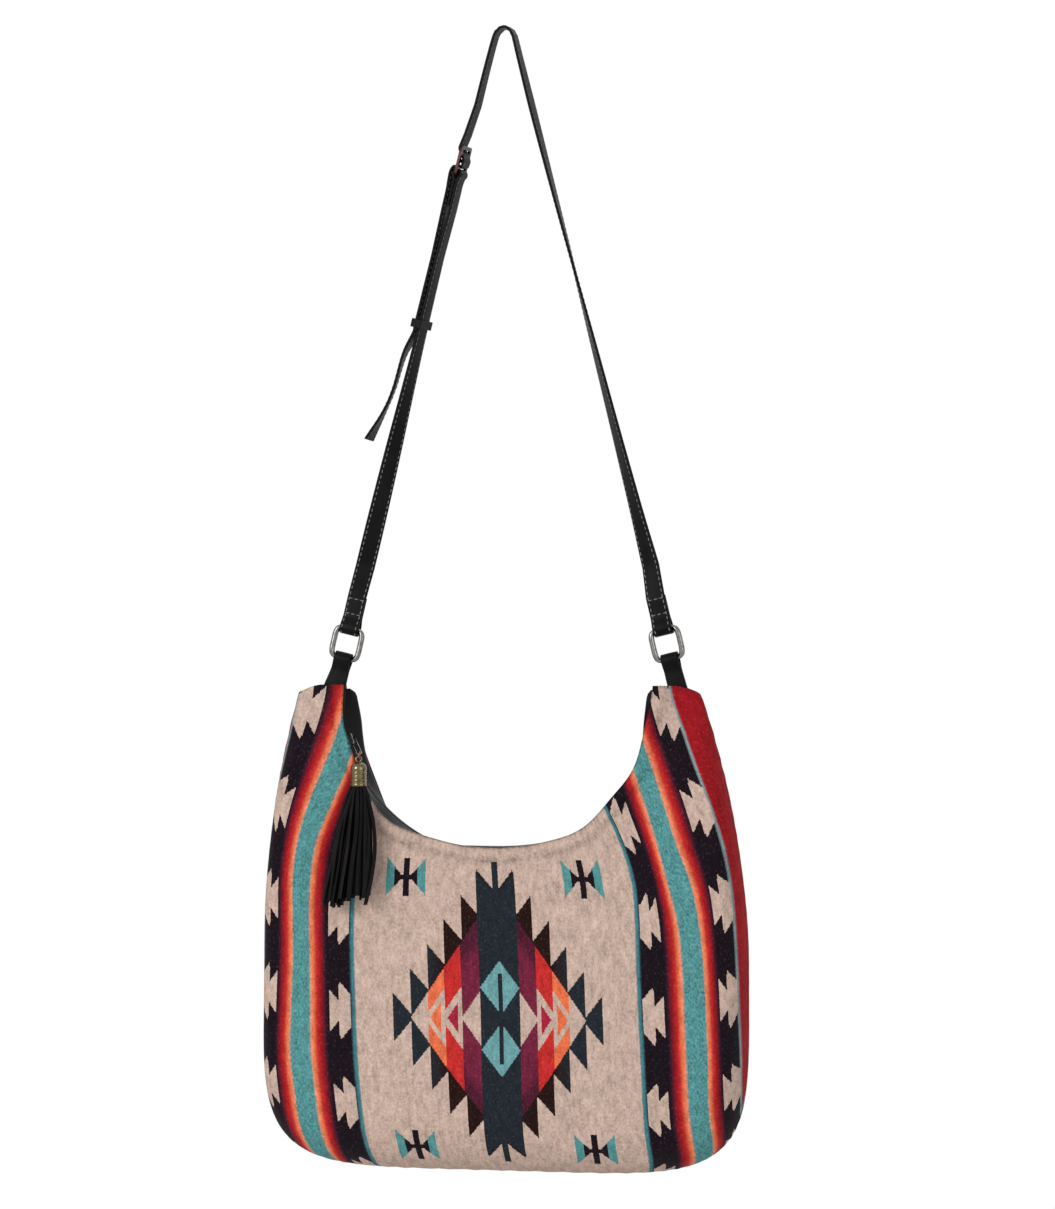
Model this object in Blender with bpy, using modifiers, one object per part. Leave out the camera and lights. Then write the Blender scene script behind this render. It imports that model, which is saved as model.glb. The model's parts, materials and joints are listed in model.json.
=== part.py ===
"""Crossbody bag of patterned cloth, hanging by its long leather strap.

Metres, +Z up. The origin is where the strap's inner face rests on a peg; X runs across the bag
and -Y is its front. Sizes that can be set by themselves are named here once, and the rest follows.
"""
import math

import bmesh
import bpy
from mathutils import Matrix, Vector

# Gaps between neighbours
GAP = 0.0003
SEAM_GAP = 0.0004

# Bag body
TOP_SEAM_Z = -0.529
BAG_DROP = 0.384
HALF_WIDTH = 0.1965
HALF_WIDTH_TOP = 0.164
WIDEST_DROP = 0.215
SIDE_POWER = 1.9
CORNER_POWER = 5.6
HORN_LEAN = 0.0055
PANEL_THICK = 0.0016
LINING_THICK = 0.0008
LINING_INSET = PANEL_THICK + 0.0004
BELLY_HALF = 0.044
HORN_HALF = 0.0215
SEAM_HALF = 0.0046
SEAM_RISE = 0.030
BELLY_TURN = 0.040
HORN_TURN = 0.015
SEAM_FLANGE = 0.0020

# Scooped top, measured from the middle of its circle
SCOOP_X = -0.006
SCOOP_RADIUS = 0.1275
SCOOP_SWELLS = ((18.0, 10.0, -0.0015), (48.0, 14.0, 0.0045), (90.0, 20.0, -0.0020),
                (124.0, 12.0, 0.0040), (151.0, 10.0, 0.0030))
RIM_HALF_GAP = 0.0200

# Zip
CHAIN_RADIUS = 0.1335
COIL_WIRE = 0.00115
COIL_SPACING = 0.0017
TAPE_THICK = 0.0007
TAPE_SEAM_GAP = 0.0005
TAPE_EDGE_Y = COIL_SPACING + COIL_WIRE + GAP
TAPE_FLAT_Y = 0.0068
TAPE_START_COLUMN = 2
TAPE_INSET = 0.0005
TAPE_SAG = 0.0006
STOP_LENGTH = 0.004
STOP_DEPTH = 0.0026
SLIDER_ANGLE = 18.0
SLIDER_LENGTH = 0.0112
SLIDER_WIDTH = 0.0090
SLIDER_PLATE = 0.0011
SLIDER_CLEAR = 0.00045
COIL_TUCK = 0.0030
DIVIDER_THICK = 0.0007
DIVIDER_LENGTH = 0.0024
BRIDGE_WIRE = 0.0008
BRIDGE_HEIGHT = 0.0032
BRIDGE_HALF = 0.0042

# Pull, link and tassel
PULL_WIRE = 0.0006
PULL_HALF_WIDTH = 0.0019
PULL_END = (-0.1140, -0.0275, -0.5795)
LINK_RADIUS = 0.0027
LINK_WIRE = 0.0006
LINK_DROP = 0.008
TASSEL_X = -0.1138
TASSEL_Y = -0.0315
CAP_RADIUS = 0.0064
CAP_HEIGHT = 0.0190
EYE_RADIUS = 0.0022
EYE_WIRE = 0.0007
FRINGE_LENGTH = 0.089
FRINGE_TOP_RADIUS = 0.0058
FRINGE_SPREAD = 0.0185
FRINGE_DEPTH = 0.0062
FRINGE_SHIFT = (-0.0070, -0.0125)
FRINGE_FLUTES = 14
FRINGE_FLUTE_DEPTH = 0.16
FRINGE_SLANT = 0.0045

# Rings and the loops that hold them
RING_X = 0.132
RING_Z = -0.492
RING_TILT = math.radians(13.5)
RING_HALF_WIDTH = 0.0112
RING_HALF_HEIGHT = 0.0126
RING_POWER = 4.5
RING_WIRE = 0.0018
RING_SIDE_SWELL = 0.30
LOOP_INNER = 0.0034

# Straps and chapes
STRAP_WIDTH = 0.0155
STRAP_THICK = 0.0022
FOLD_LENGTH = 0.026
CHAPE_WIDTH = 0.014
CHAPE_THICK = 0.0019
CHAPE_ROOT = 0.011
TAIL_OFFSET = 0.0036
LOOP_NECK = 0.0105
KEEPER_LENGTH = 0.007
KEEPER_THICK = 0.0014
KEEPER_SIDE_GAP = 0.0009

# Strap routes as (x, z, turn of the width about Z in degrees), from the top down
PEG_RADIUS = 0.0080
RIGHT_ROUTE = ((0.0075, -0.0060, 0.0), (0.0128, -0.0270, 2.0), (0.0245, -0.0728, 4.0),
               (0.0430, -0.1430, -4.0), (0.0560, -0.1915, -12.0), (0.0730, -0.2560, -25.0),
               (0.0930, -0.3320, -38.0), (0.1085, -0.3905, -52.0), (0.1190, -0.4300, -72.0))
LEFT_ROUTE = ((-0.0080, -0.0060, 0.0), (-0.0140, -0.0270, 1.0), (-0.0228, -0.0610, 3.0))
LOWER_LEFT_ROUTE = ((-0.0545, -0.1820, 8.0), (-0.0680, -0.2360, 12.0), (-0.0800, -0.2840, 22.0),
                    (-0.0925, -0.3340, 39.0), (-0.1050, -0.3840, 58.0), (-0.1165, -0.4300, 76.0))
TAIL_ROUTE = ((-0.0835, -0.2590, 7.0), (-0.0925, -0.2870, 3.0), (-0.1010, -0.3060, 1.0),
              (-0.1135, -0.3280, -2.0))
KEEPER_STATION = 1

# Strap slide
SLIDE_BAR = 0.0030
SLIDE_SLOT = 0.0078
SLIDE_THICK = 0.0022
SLIDE_SIDE = 0.0030
SLIDE_MIDDLE = (-0.0352, 0.0, -0.1055)
SLIDE_TURN = math.radians(5.0)
SLIDE_TILT = math.radians(14.0)
SLIDE_CORNER = 0.0022
SLOT_CORNER = 0.0006
SLIDE_CLEAR = 0.00055

# Grid sizes
COIL_STEPS = 42
STRAP_STEP = 0.012
FOLD_STEP = 0.0017
PANEL_COLUMNS = 36
LINING_TRIM = (3, 3)
PANEL_TURN_ROWS = 3
PANEL_FLAT_ROWS = 5

UP = Vector((0.0, 0.0, 1.0))
SCOOP_CENTRE = Vector((SCOOP_X, 0.0, TOP_SEAM_Z))


def clear_scene():
    """Remove every object and collection, so the model starts empty."""
    for item in list(bpy.data.objects):
        bpy.data.objects.remove(item, do_unlink=True)
    for group in list(bpy.data.collections):
        bpy.data.collections.remove(group)


def new_collection(name):
    """Return a new collection under the scene."""
    group = bpy.data.collections.new(name)
    bpy.context.scene.collection.children.link(group)
    return group


def material(name, colour, roughness, metallic=0.0):
    """Return a plain material with the piece's colour and finish."""
    made = bpy.data.materials.new(name)
    made.use_nodes = True
    shader = made.node_tree.nodes["Principled BSDF"]
    shader.inputs["Base Color"].default_value = (*colour, 1.0)
    shader.inputs["Roughness"].default_value = roughness
    shader.inputs["Metallic"].default_value = metallic
    return made


def place(name, data, finish):
    """Make an object of the data, give it its finish and put it in the bag's collection."""
    made = bpy.data.objects.new(name, data)
    made.data.materials.append(finish)
    BAG.objects.link(made)
    return made


def from_bmesh(name, shape, finish, smooth=True):
    """Turn a bmesh into a placed object."""
    mesh = bpy.data.meshes.new(name)
    shape.to_mesh(mesh)
    shape.free()
    if smooth:
        mesh.shade_smooth()
        mesh.set_sharp_from_angle(angle=math.radians(40))
    return place(name, mesh, finish)


def solidify(item, thickness, offset):
    """Give an open surface its thickness."""
    wall = item.modifiers.new("thickness", "SOLIDIFY")
    wall.thickness = thickness
    wall.offset = offset
    wall.use_even_offset = True
    return item


def smooth_step(value):
    """Ease from 0 to 1 as the value does."""
    value = min(max(value, 0.0), 1.0)
    return value * value * (3.0 - 2.0 * value)


def spline_points(points, step):
    """Return points about a step apart on a smooth curve through the given points."""
    points = [Vector(p) for p in points]
    ends = [2 * points[0] - points[1]] + points + [2 * points[-1] - points[-2]]
    route = []
    for a, b, c, d in zip(ends, ends[1:], ends[2:], ends[3:]):
        count = max(1, round((c - b).length / step))
        for i in range(count):
            t = i / count
            route.append(0.5 * ((2 * b) + (c - a) * t + (2 * a - 5 * b + 4 * c - d) * t * t
                                + (3 * b - a - 3 * c + d) * t ** 3))
    route.append(points[-1])
    return route


def tube(name, points, radius, finish, cyclic=False, resolution=2, swells=None):
    """Make a round wire along the points, as a curve with filled caps."""
    data = bpy.data.curves.new(name, "CURVE")
    data.dimensions = "3D"
    data.bevel_depth = radius
    data.bevel_resolution = resolution
    data.use_fill_caps = not cyclic
    spline = data.splines.new("POLY")
    spline.points.add(len(points) - 1)
    for number, point in enumerate(points):
        spline.points[number].co = (*point, 1.0)
        spline.points[number].radius = swells[number] if swells else 1.0
    spline.use_cyclic_u = cyclic
    return place(name, data, finish)


def as_mesh(item):
    """Replace a curve object with a welded mesh of itself."""
    bpy.context.view_layer.update()
    graph = bpy.context.evaluated_depsgraph_get()
    mesh = bpy.data.meshes.new_from_object(item.evaluated_get(graph))
    shape = bmesh.new()
    shape.from_mesh(mesh)
    bmesh.ops.remove_doubles(shape, verts=shape.verts, dist=0.00001)
    shape.to_mesh(mesh)
    shape.free()
    made = bpy.data.objects.new(item.name + "_mesh", mesh)
    made.matrix_world = item.matrix_world.copy()
    name = item.name
    bpy.data.objects.remove(item, do_unlink=True)
    made.name = name
    BAG.objects.link(made)
    return made


def fuse(base, others):
    """Join the others to the base with Boolean unions, and put them among the cutters."""
    for other in others:
        join = base.modifiers.new("union " + other.name, "BOOLEAN")
        join.operation = "UNION"
        join.object = other
        hide_cutter(other)
    return base


def hide_cutter(item):
    """Show a cutter as wire only and keep it out of the model."""
    BAG.objects.unlink(item)
    CUTTERS.objects.link(item)
    item.hide_render = True
    item.display_type = "WIRE"


def block(name, size, finish, bevel=0.0):
    """Return a box of the given size about the origin."""
    shape = bmesh.new()
    bmesh.ops.create_cube(shape, size=1.0)
    bmesh.ops.scale(shape, vec=Vector(size), verts=shape.verts)
    if bevel:
        bmesh.ops.bevel(shape, geom=shape.edges[:], offset=bevel, segments=2, profile=0.5,
                        affect="EDGES", material=-1)
    return from_bmesh(name, shape, finish)


# Outline of the body

def lean(drop):
    """Sideways lean of the horns at a distance below the top seam."""
    return -HORN_LEAN * max(0.0, 1.0 - drop / WIDEST_DROP) ** 1.3


def outline_side(count=60):
    """Return the left half of the outline as (distance from the middle, drop)."""
    side = []
    for i in range(count):
        drop = WIDEST_DROP * i / count
        narrow = (HALF_WIDTH - HALF_WIDTH_TOP) * ((WIDEST_DROP - drop) / WIDEST_DROP) ** SIDE_POWER
        side.append((HALF_WIDTH - narrow, drop))
    for i in range(2 * count + 1):
        angle = math.radians(90.0) * i / (2 * count)
        across = HALF_WIDTH * max(math.cos(angle), 0.0) ** (2 / CORNER_POWER)
        drop = WIDEST_DROP + (BAG_DROP - WIDEST_DROP) * math.sin(angle) ** (2 / CORNER_POWER)
        side.append((across, drop))
    side[-1] = (0.0, BAG_DROP)
    return side


def spread(path, count, bend_weight=0.055):
    """Pick count + 1 points along a path, closer together where it bends."""
    marks = [0.0]
    for i in range(1, len(path)):
        run = path[i] - path[i - 1]
        bend = run.angle(path[i - 1] - path[i - 2], 0.0) if i > 1 and run.length > 1e-9 else 0.0
        marks.append(marks[-1] + run.length + bend_weight * bend)
    picked = []
    place_now = 0
    for k in range(count + 1):
        wanted = marks[-1] * k / count
        while place_now < len(marks) - 2 and marks[place_now + 1] < wanted:
            place_now += 1
        span = marks[place_now + 1] - marks[place_now]
        part = (wanted - marks[place_now]) / span if span else 0.0
        picked.append(path[place_now].lerp(path[place_now + 1], min(max(part, 0.0), 1.0)))
    return picked


def outline_points(count):
    """Return the outer seam's points, from the left horn round the bottom to the right horn."""
    half = outline_side()
    left = [Vector((-across + lean(drop), 0.0, TOP_SEAM_Z - drop)) for across, drop in half]
    right = [Vector((across + lean(drop), 0.0, TOP_SEAM_Z - drop)) for across, drop in half]
    first = spread(left, count // 2)
    second = spread(right, count - count // 2)
    return first + second[-2::-1]


def rim_radius(angle):
    """Return the rim's distance from the scoop's middle at an angle in degrees."""
    swell = sum(size * math.exp(-((angle - at) / width) ** 2) for at, width, size in SCOOP_SWELLS)
    return SCOOP_RADIUS + swell


def scoop_point(angle, radius, y=0.0):
    """Return a point on the scoop, its angle in degrees down from the left horn's top."""
    turn = math.radians(angle)
    return SCOOP_CENTRE + Vector((-radius * math.cos(turn), y, -radius * math.sin(turn)))


def seam_factor(fraction):
    """Return how far the horn has opened from its flat top seam: 0 at the seam, 1 below it."""
    from_end = min(fraction, 1.0 - fraction) * math.pi * SCOOP_RADIUS
    return smooth_step(from_end / SEAM_RISE) ** 0.75


def rim_half_gap(fraction):
    """Return the rim's distance in front of the middle plane."""
    return SEAM_HALF + (RIM_HALF_GAP - SEAM_HALF) * seam_factor(fraction)


def section_point(outer, rim, fraction, row):
    """Return a point of the front panel's outer face, row 0 at the side seam."""
    swell = math.sin(math.pi * fraction) ** 1.3
    opened = seam_factor(fraction)
    deep = SEAM_HALF + (HORN_HALF + (BELLY_HALF - HORN_HALF) * swell - SEAM_HALF) * opened
    turn = HORN_TURN + (BELLY_TURN - HORN_TURN) * swell
    span = (rim - outer).length
    flange = min(SEAM_FLANGE, 0.4 * deep)
    if row == 0:
        along, depth = 0.0, SEAM_GAP / 2
    elif row <= PANEL_TURN_ROWS + 1:
        angle = math.radians(90.0) * (row - 1) / PANEL_TURN_ROWS
        along = turn * (1.0 - math.cos(angle))
        depth = flange + (deep - flange) * math.sin(angle)
    else:
        part = (row - 1 - PANEL_TURN_ROWS) / PANEL_FLAT_ROWS
        along = turn + (span - turn) * part
        depth = deep + (rim_half_gap(fraction) - deep) * smooth_step(part)
    spot = outer.lerp(rim, along / span)
    return Vector((spot.x, -depth, spot.z))


# Cloth shells

def cloth_shell(name, back, inset, thickness, finish, columns=(0, 0), rows=(0, 0)):
    """Make one cloth wall: the panel's face set in by an amount, with its thickness inwards.

    columns and rows leave out that many of the grid's cells at each end.
    """
    total_rows = 1 + PANEL_TURN_ROWS + PANEL_FLAT_ROWS
    outer = outline_points(PANEL_COLUMNS)
    shape = bmesh.new()
    bmesh.ops.create_grid(shape, x_segments=PANEL_COLUMNS, y_segments=total_rows, size=0.5)
    spare = []
    for vertex in shape.verts:
        column = round((vertex.co.x + 0.5) * PANEL_COLUMNS)
        row = round((vertex.co.y + 0.5) * total_rows)
        fraction = column / PANEL_COLUMNS
        angle = 180.0 * fraction
        rim = scoop_point(angle, rim_radius(angle))
        vertex.co = section_point(outer[column], rim, fraction, row)
        if (column < columns[0] or column > PANEL_COLUMNS - columns[1]
                or row < rows[0] or row > total_rows - rows[1]):
            spare.append(vertex)
    bmesh.ops.recalc_face_normals(shape, faces=shape.faces)
    shape.normal_update()
    middle = min(shape.faces, key=lambda face: (face.calc_center_median() - BELLY_POINT).length)
    if middle.normal.y > 0:
        bmesh.ops.reverse_faces(shape, faces=shape.faces)
        shape.normal_update()
    if inset:
        moves = [(vertex, vertex.normal * inset) for vertex in shape.verts]
        for vertex, move in moves:
            vertex.co -= move
            vertex.co.y = min(vertex.co.y, -SEAM_GAP / 2)
    bmesh.ops.delete(shape, geom=spare, context="VERTS")
    if back:
        bmesh.ops.scale(shape, vec=(1.0, -1.0, 1.0), verts=shape.verts)
        bmesh.ops.reverse_faces(shape, faces=shape.faces)
    return solidify(from_bmesh(name, shape, finish), thickness, -1.0)


# Zip

def zip_tape(name, back, finish):
    """Make one zip tape, from just inside the rim to the coil."""
    columns, rows = PANEL_COLUMNS - 2 * TAPE_START_COLUMN, 3
    side = 1.0 if back else -1.0
    shape = bmesh.new()
    bmesh.ops.create_grid(shape, x_segments=columns, y_segments=rows, size=0.5)
    for vertex in shape.verts:
        column = TAPE_START_COLUMN + round((vertex.co.x + 0.5) * columns)
        row = round((vertex.co.y + 0.5) * rows)
        angle = 180.0 * column / PANEL_COLUMNS
        gap = rim_half_gap(column / PANEL_COLUMNS)
        sewn_y = gap - PANEL_THICK - TAPE_THICK / 2 - TAPE_SEAM_GAP
        flat_y = min(TAPE_FLAT_Y, 0.5 * (sewn_y + TAPE_EDGE_Y))
        radius = rim_radius(angle)
        halfway = (0.5 * (radius + CHAIN_RADIUS) + TAPE_SAG, 0.5 * (sewn_y + flat_y))
        steps = ((radius + TAPE_INSET, sewn_y), halfway, (CHAIN_RADIUS, flat_y), (CHAIN_RADIUS, TAPE_EDGE_Y))
        vertex.co = scoop_point(angle, steps[row][0], side * steps[row][1])
    return solidify(from_bmesh(name, shape, finish), TAPE_THICK, 0.0)


def chain_end_angles():
    """Return the angles where the coils begin and end, between the two stops."""
    length = math.degrees(1.0 / CHAIN_RADIUS)
    start = SLIDER_ANGLE - (0.5 * SLIDER_LENGTH - COIL_TUCK) * length
    return start, 180.0 - start


def zip_coil(name, back, finish):
    """Make one row of the zip's coil as a round strand on the chain's circle."""
    start, end = chain_end_angles()
    count = COIL_STEPS
    y = COIL_SPACING * (1 if back else -1)
    points = [scoop_point(start + (end - start) * i / count, CHAIN_RADIUS, y) for i in range(count + 1)]
    return tube(name, points, COIL_WIRE, finish, resolution=1)


def stand_on_chain(item, angle, radius, y=0.0):
    """Turn and place a piece: its X along the zip, its Z towards the scoop's middle."""
    turn = math.radians(angle)
    along = Vector((math.sin(turn), 0.0, -math.cos(turn)))
    inward = Vector((math.cos(turn), 0.0, math.sin(turn)))
    across = inward.cross(along)
    frame = Matrix((along, across, inward)).transposed().to_4x4()
    frame.translation = scoop_point(angle, radius, y)
    item.matrix_world = frame
    return item


def zip_stop(name, at_start, finish):
    """Make a metal stop just past one end of the coils."""
    start, end = chain_end_angles()
    reach = math.degrees((0.5 * STOP_LENGTH + GAP) / CHAIN_RADIUS)
    angle = start - reach if at_start else end + reach
    width = 2 * (TAPE_EDGE_Y - GAP)
    return stand_on_chain(block(name, (STOP_LENGTH, width, STOP_DEPTH), finish, 0.0005), angle, CHAIN_RADIUS)


def zip_slider(finish):
    """Make the slider: two plates, the divider between them and the bridge for the pull."""
    plate_lift = COIL_WIRE + SLIDER_CLEAR + 0.5 * SLIDER_PLATE
    top = block("zip_slider", (SLIDER_LENGTH, SLIDER_WIDTH, SLIDER_PLATE), finish, 0.0004)
    low = block("slider_low_plate", (SLIDER_LENGTH, SLIDER_WIDTH, SLIDER_PLATE), finish, 0.0004)
    divider = block("slider_divider", (DIVIDER_LENGTH, DIVIDER_THICK, 2 * plate_lift), finish)
    stand_on_chain(top, SLIDER_ANGLE, CHAIN_RADIUS - plate_lift)
    stand_on_chain(low, SLIDER_ANGLE, CHAIN_RADIUS + plate_lift)
    back_step = math.degrees((0.5 * SLIDER_LENGTH - DIVIDER_LENGTH) / CHAIN_RADIUS)
    stand_on_chain(divider, SLIDER_ANGLE - back_step + 1.0, CHAIN_RADIUS)
    arch = [(-BRIDGE_HALF, 0, -0.0003), (-BRIDGE_HALF, 0, 0.6 * BRIDGE_HEIGHT),
            (-0.8 * BRIDGE_HALF, 0, BRIDGE_HEIGHT), (0.8 * BRIDGE_HALF, 0, BRIDGE_HEIGHT),
            (BRIDGE_HALF, 0, 0.6 * BRIDGE_HEIGHT), (BRIDGE_HALF, 0, -0.0003)]
    bridge = as_mesh(tube("slider_bridge", arch, BRIDGE_WIRE, finish))
    stand_on_chain(bridge, SLIDER_ANGLE, CHAIN_RADIUS - plate_lift - 0.5 * SLIDER_PLATE)
    return fuse(top, [low, divider, bridge])


def bridge_point():
    """Return the middle of the bridge's bar, which the pull swings about."""
    lift = COIL_WIRE + SLIDER_CLEAR + SLIDER_PLATE + BRIDGE_HEIGHT
    return scoop_point(SLIDER_ANGLE, CHAIN_RADIUS - lift)


def pull_frame():
    """Return the pull's ends and its width direction."""
    turn = math.radians(SLIDER_ANGLE)
    along_zip = Vector((math.sin(turn), 0.0, -math.cos(turn)))
    start = bridge_point()
    end = Vector(PULL_END)
    run = (end - start).normalized()
    across = run.cross(along_zip).normalized()
    return start, end, run, across


def oval_link(name, start, end, run, across, half_width, wire, finish):
    """Make a long wire link whose end bends are centred near the two given points."""
    points = []
    for centre, way in ((start, -1.0), (end, 1.0)):
        for i in range(9):
            angle = math.radians(-90 + 22.5 * i)
            spoke = run * math.cos(angle) + across * math.sin(angle)
            points.append(centre + way * half_width * spoke)
    return tube(name, points, wire, finish, cyclic=True, resolution=2)


def zip_pull(finish):
    """Make the pull: a long wire link that hangs on the slider's bridge over the front rim."""
    start, end, run, across = pull_frame()
    slack = PULL_HALF_WIDTH - (BRIDGE_WIRE + PULL_WIRE + GAP)
    return oval_link("zip_pull", start + run * slack, end, run, across, PULL_HALF_WIDTH, PULL_WIRE, finish)


def link_frame():
    """Return the small link's middle, the way it hangs, its axle way and its side way."""
    _, end, run, across = pull_frame()
    bar = end + run * PULL_HALF_WIDTH
    hang = (Vector((TASSEL_X, TASSEL_Y, bar.z - LINK_DROP)) - bar).normalized()
    axle = (across - hang * across.dot(hang)).normalized()
    middle = bar + hang * (LINK_RADIUS - LINK_WIRE - PULL_WIRE - GAP)
    return middle, hang, axle, hang.cross(axle)


def pull_link(finish):
    """Make the small round link between the pull and the tassel, standing fore and aft."""
    centre, hang, _, side = link_frame()
    points = []
    for i in range(16):
        angle = math.tau * i / 16
        points.append(centre + LINK_RADIUS * (hang * math.cos(angle) + side * math.sin(angle)))
    return tube("pull_link", points, LINK_WIRE, finish, cyclic=True, resolution=2)


def tassel_eye():
    """Return the middle of the cap's eye."""
    centre, hang, _, _ = link_frame()
    low = centre + hang * LINK_RADIUS
    return low + Vector((0.0, 0.0, -(EYE_RADIUS - EYE_WIRE - LINK_WIRE - GAP)))


def tassel_cap(finish):
    """Make the ribbed metal cap as a turned cup, with a wire eye on its crown."""
    eye = tassel_eye()
    top = eye.z - EYE_RADIUS - 0.0002
    r, h = CAP_RADIUS, CAP_HEIGHT
    profile = [(0.0, 0.0), (0.45 * r, 0.0), (0.85 * r, -0.10 * h), (r, -0.20 * h)]
    for rib in (0.36, 0.52, 0.68, 0.84):
        profile += [(0.93 * r, -(rib - 0.05) * h), (r, -rib * h)]
    profile += [(r, -h), (r - 0.0010, -h), (r - 0.0010, -0.30 * h), (0.0, -0.24 * h)]
    shape = bmesh.new()
    verts = [shape.verts.new((x, 0.0, z)) for x, z in profile]
    for a, b in zip(verts, verts[1:]):
        shape.edges.new((a, b))
    cap = from_bmesh("tassel_cap", shape, finish)
    turned = cap.modifiers.new("turned", "SCREW")
    turned.steps = 24
    turned.render_steps = 24
    turned.use_merge_vertices = True
    turned.merge_threshold = 0.00001
    cap.location = (eye.x, eye.y, top)
    axle = link_frame()[2]
    level = Vector((axle.x, axle.y, 0.0)).normalized()
    points = [eye + EYE_RADIUS * (level * math.sin(math.tau * i / 16) + UP * math.cos(math.tau * i / 16))
              for i in range(16)]
    loop = as_mesh(tube("cap_eye", points, EYE_WIRE, finish, cyclic=True, resolution=2))
    return fuse(cap, [loop])


def tassel_fringe(finish):
    """Make the fringe: a fluted skirt that spreads as it hangs and follows the front panel."""
    eye = tassel_eye()
    cap_top = eye.z - EYE_RADIUS - 0.0002
    plug_top = cap_top - 0.30 * CAP_HEIGHT - GAP
    skirt_top = cap_top - CAP_HEIGHT
    segments = FRINGE_FLUTES * 4
    levels = 7
    shape = bmesh.new()
    bmesh.ops.create_cone(shape, cap_ends=True, segments=segments, radius1=1.0, radius2=1.0, depth=1.0)
    walls = [edge for edge in shape.edges if abs(edge.verts[0].co.z - edge.verts[1].co.z) > 0.5]
    bmesh.ops.subdivide_edges(shape, edges=walls, cuts=levels)
    bottom = skirt_top - FRINGE_LENGTH
    neck = CAP_RADIUS - 0.0010 - GAP
    for vertex in shape.verts:
        part = 0.5 - vertex.co.z
        level = round(part * (levels + 1))
        angle = math.atan2(vertex.co.y, vertex.co.x)
        if level <= 1:
            z = plug_top if level == 0 else skirt_top - 0.0004
            across = deep = neck
            shift, flute = 0.0, 0.0
        else:
            down = (level - 1) / levels
            z = skirt_top + (bottom - skirt_top) * down
            ease = math.sin(0.5 * math.pi * down) ** 0.9
            across = FRINGE_TOP_RADIUS + (FRINGE_SPREAD - FRINGE_TOP_RADIUS) * ease
            deep = FRINGE_TOP_RADIUS + (FRINGE_DEPTH - FRINGE_TOP_RADIUS) * ease
            shift, flute = down, FRINGE_FLUTE_DEPTH * min(1.0, 2.0 * down)
            if level > levels:
                z += FRINGE_SLANT * math.cos(angle)
        wave = 1.0 - flute * (0.5 - 0.5 * math.cos(FRINGE_FLUTES * angle))
        vertex.co = Vector((eye.x + across * wave * math.cos(angle) + FRINGE_SHIFT[0] * shift,
                            eye.y + deep * wave * math.sin(angle) + FRINGE_SHIFT[1] * shift, z))
    return from_bmesh("tassel_fringe", shape, finish)


# Rings

def ring_up(side):
    """Return the direction from a horn up to its strap; side is -1 on the left, 1 on the right."""
    return Vector((-side * math.sin(RING_TILT), 0.0, math.cos(RING_TILT)))


def ring_across(side):
    """Return the direction of a ring's bars."""
    up = ring_up(side)
    return Vector((up.z, 0.0, -up.x))


def ring_centre(side):
    """Return a ring's middle."""
    return Vector((side * RING_X, 0.0, RING_Z))


def bar_point(side, upper):
    """Return the middle of a ring's upper or lower bar."""
    return ring_centre(side) + ring_up(side) * RING_HALF_HEIGHT * (1.0 if upper else -1.0)


def oval_ring(name, side, finish):
    """Make a cast oval ring, thicker at its sides than at its bars."""
    points, swells = [], []
    count = 40
    for i in range(count):
        angle = math.tau * i / count
        c, s = math.cos(angle), math.sin(angle)
        x = math.copysign(abs(c) ** (2 / RING_POWER), c) * RING_HALF_WIDTH
        z = math.copysign(abs(s) ** (2 / RING_POWER), s) * RING_HALF_HEIGHT
        points.append(ring_centre(side) + ring_across(side) * x + ring_up(side) * z)
        swells.append(1.0 + RING_SIDE_SWELL * smooth_step(1.6 * abs(c) - 0.6))
    return tube(name, points, RING_WIRE, finish, cyclic=True, resolution=2, swells=swells)


# Straps

def ribbon(name, stations, width, thickness, finish):
    """Make a flat strap along stations, each a point and a width direction."""
    count = len(stations) - 1
    shape = bmesh.new()
    bmesh.ops.create_grid(shape, x_segments=count, y_segments=1, size=0.5)
    for vertex in shape.verts:
        point, across = stations[round((vertex.co.x + 0.5) * count)]
        vertex.co = point + across * width * (0.5 if vertex.co.y > 0 else -0.5)
    bmesh.ops.recalc_face_normals(shape, faces=shape.faces)
    return solidify(from_bmesh(name, shape, finish), thickness, 0.0)


def hairpin(bar, up, thickness, long_leg, short_leg):
    """Return the points of a folded strap: down its front leg, round the bar and up its back leg.

    The legs lie face to face with a gap, and open into a loop round the bar.
    """
    reach = LOOP_INNER + 0.5 * thickness
    rest = 0.5 * (thickness + GAP)
    front = [bar + up * long_leg + Vector((0, -rest, 0))]
    steps = max(1, round((long_leg - LOOP_NECK) / STRAP_STEP))
    for i in range(1, steps + 1):
        front.append(bar + up * (long_leg + (LOOP_NECK - long_leg) * i / steps) + Vector((0, -rest, 0)))
    for i in range(1, 5):
        part = i / 5
        apart = rest + (reach - rest) * smooth_step(part)
        front.append(bar + up * LOOP_NECK * (1 - part) + Vector((0, -apart, 0)))
    bend = [bar + reach * (Vector((0, -math.cos(math.radians(a)), 0)) - up * math.sin(math.radians(a)))
            for a in range(0, 181, 20)]
    back = []
    for i in range(1, 5):
        part = 1 - i / 5
        apart = rest + (reach - rest) * smooth_step(part)
        back.append(bar + up * LOOP_NECK * (1 - part) + Vector((0, apart, 0)))
    back.append(bar + up * LOOP_NECK + Vector((0, rest, 0)))
    back.append(bar + up * short_leg + Vector((0, rest, 0)))
    return front, bend, back


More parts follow.
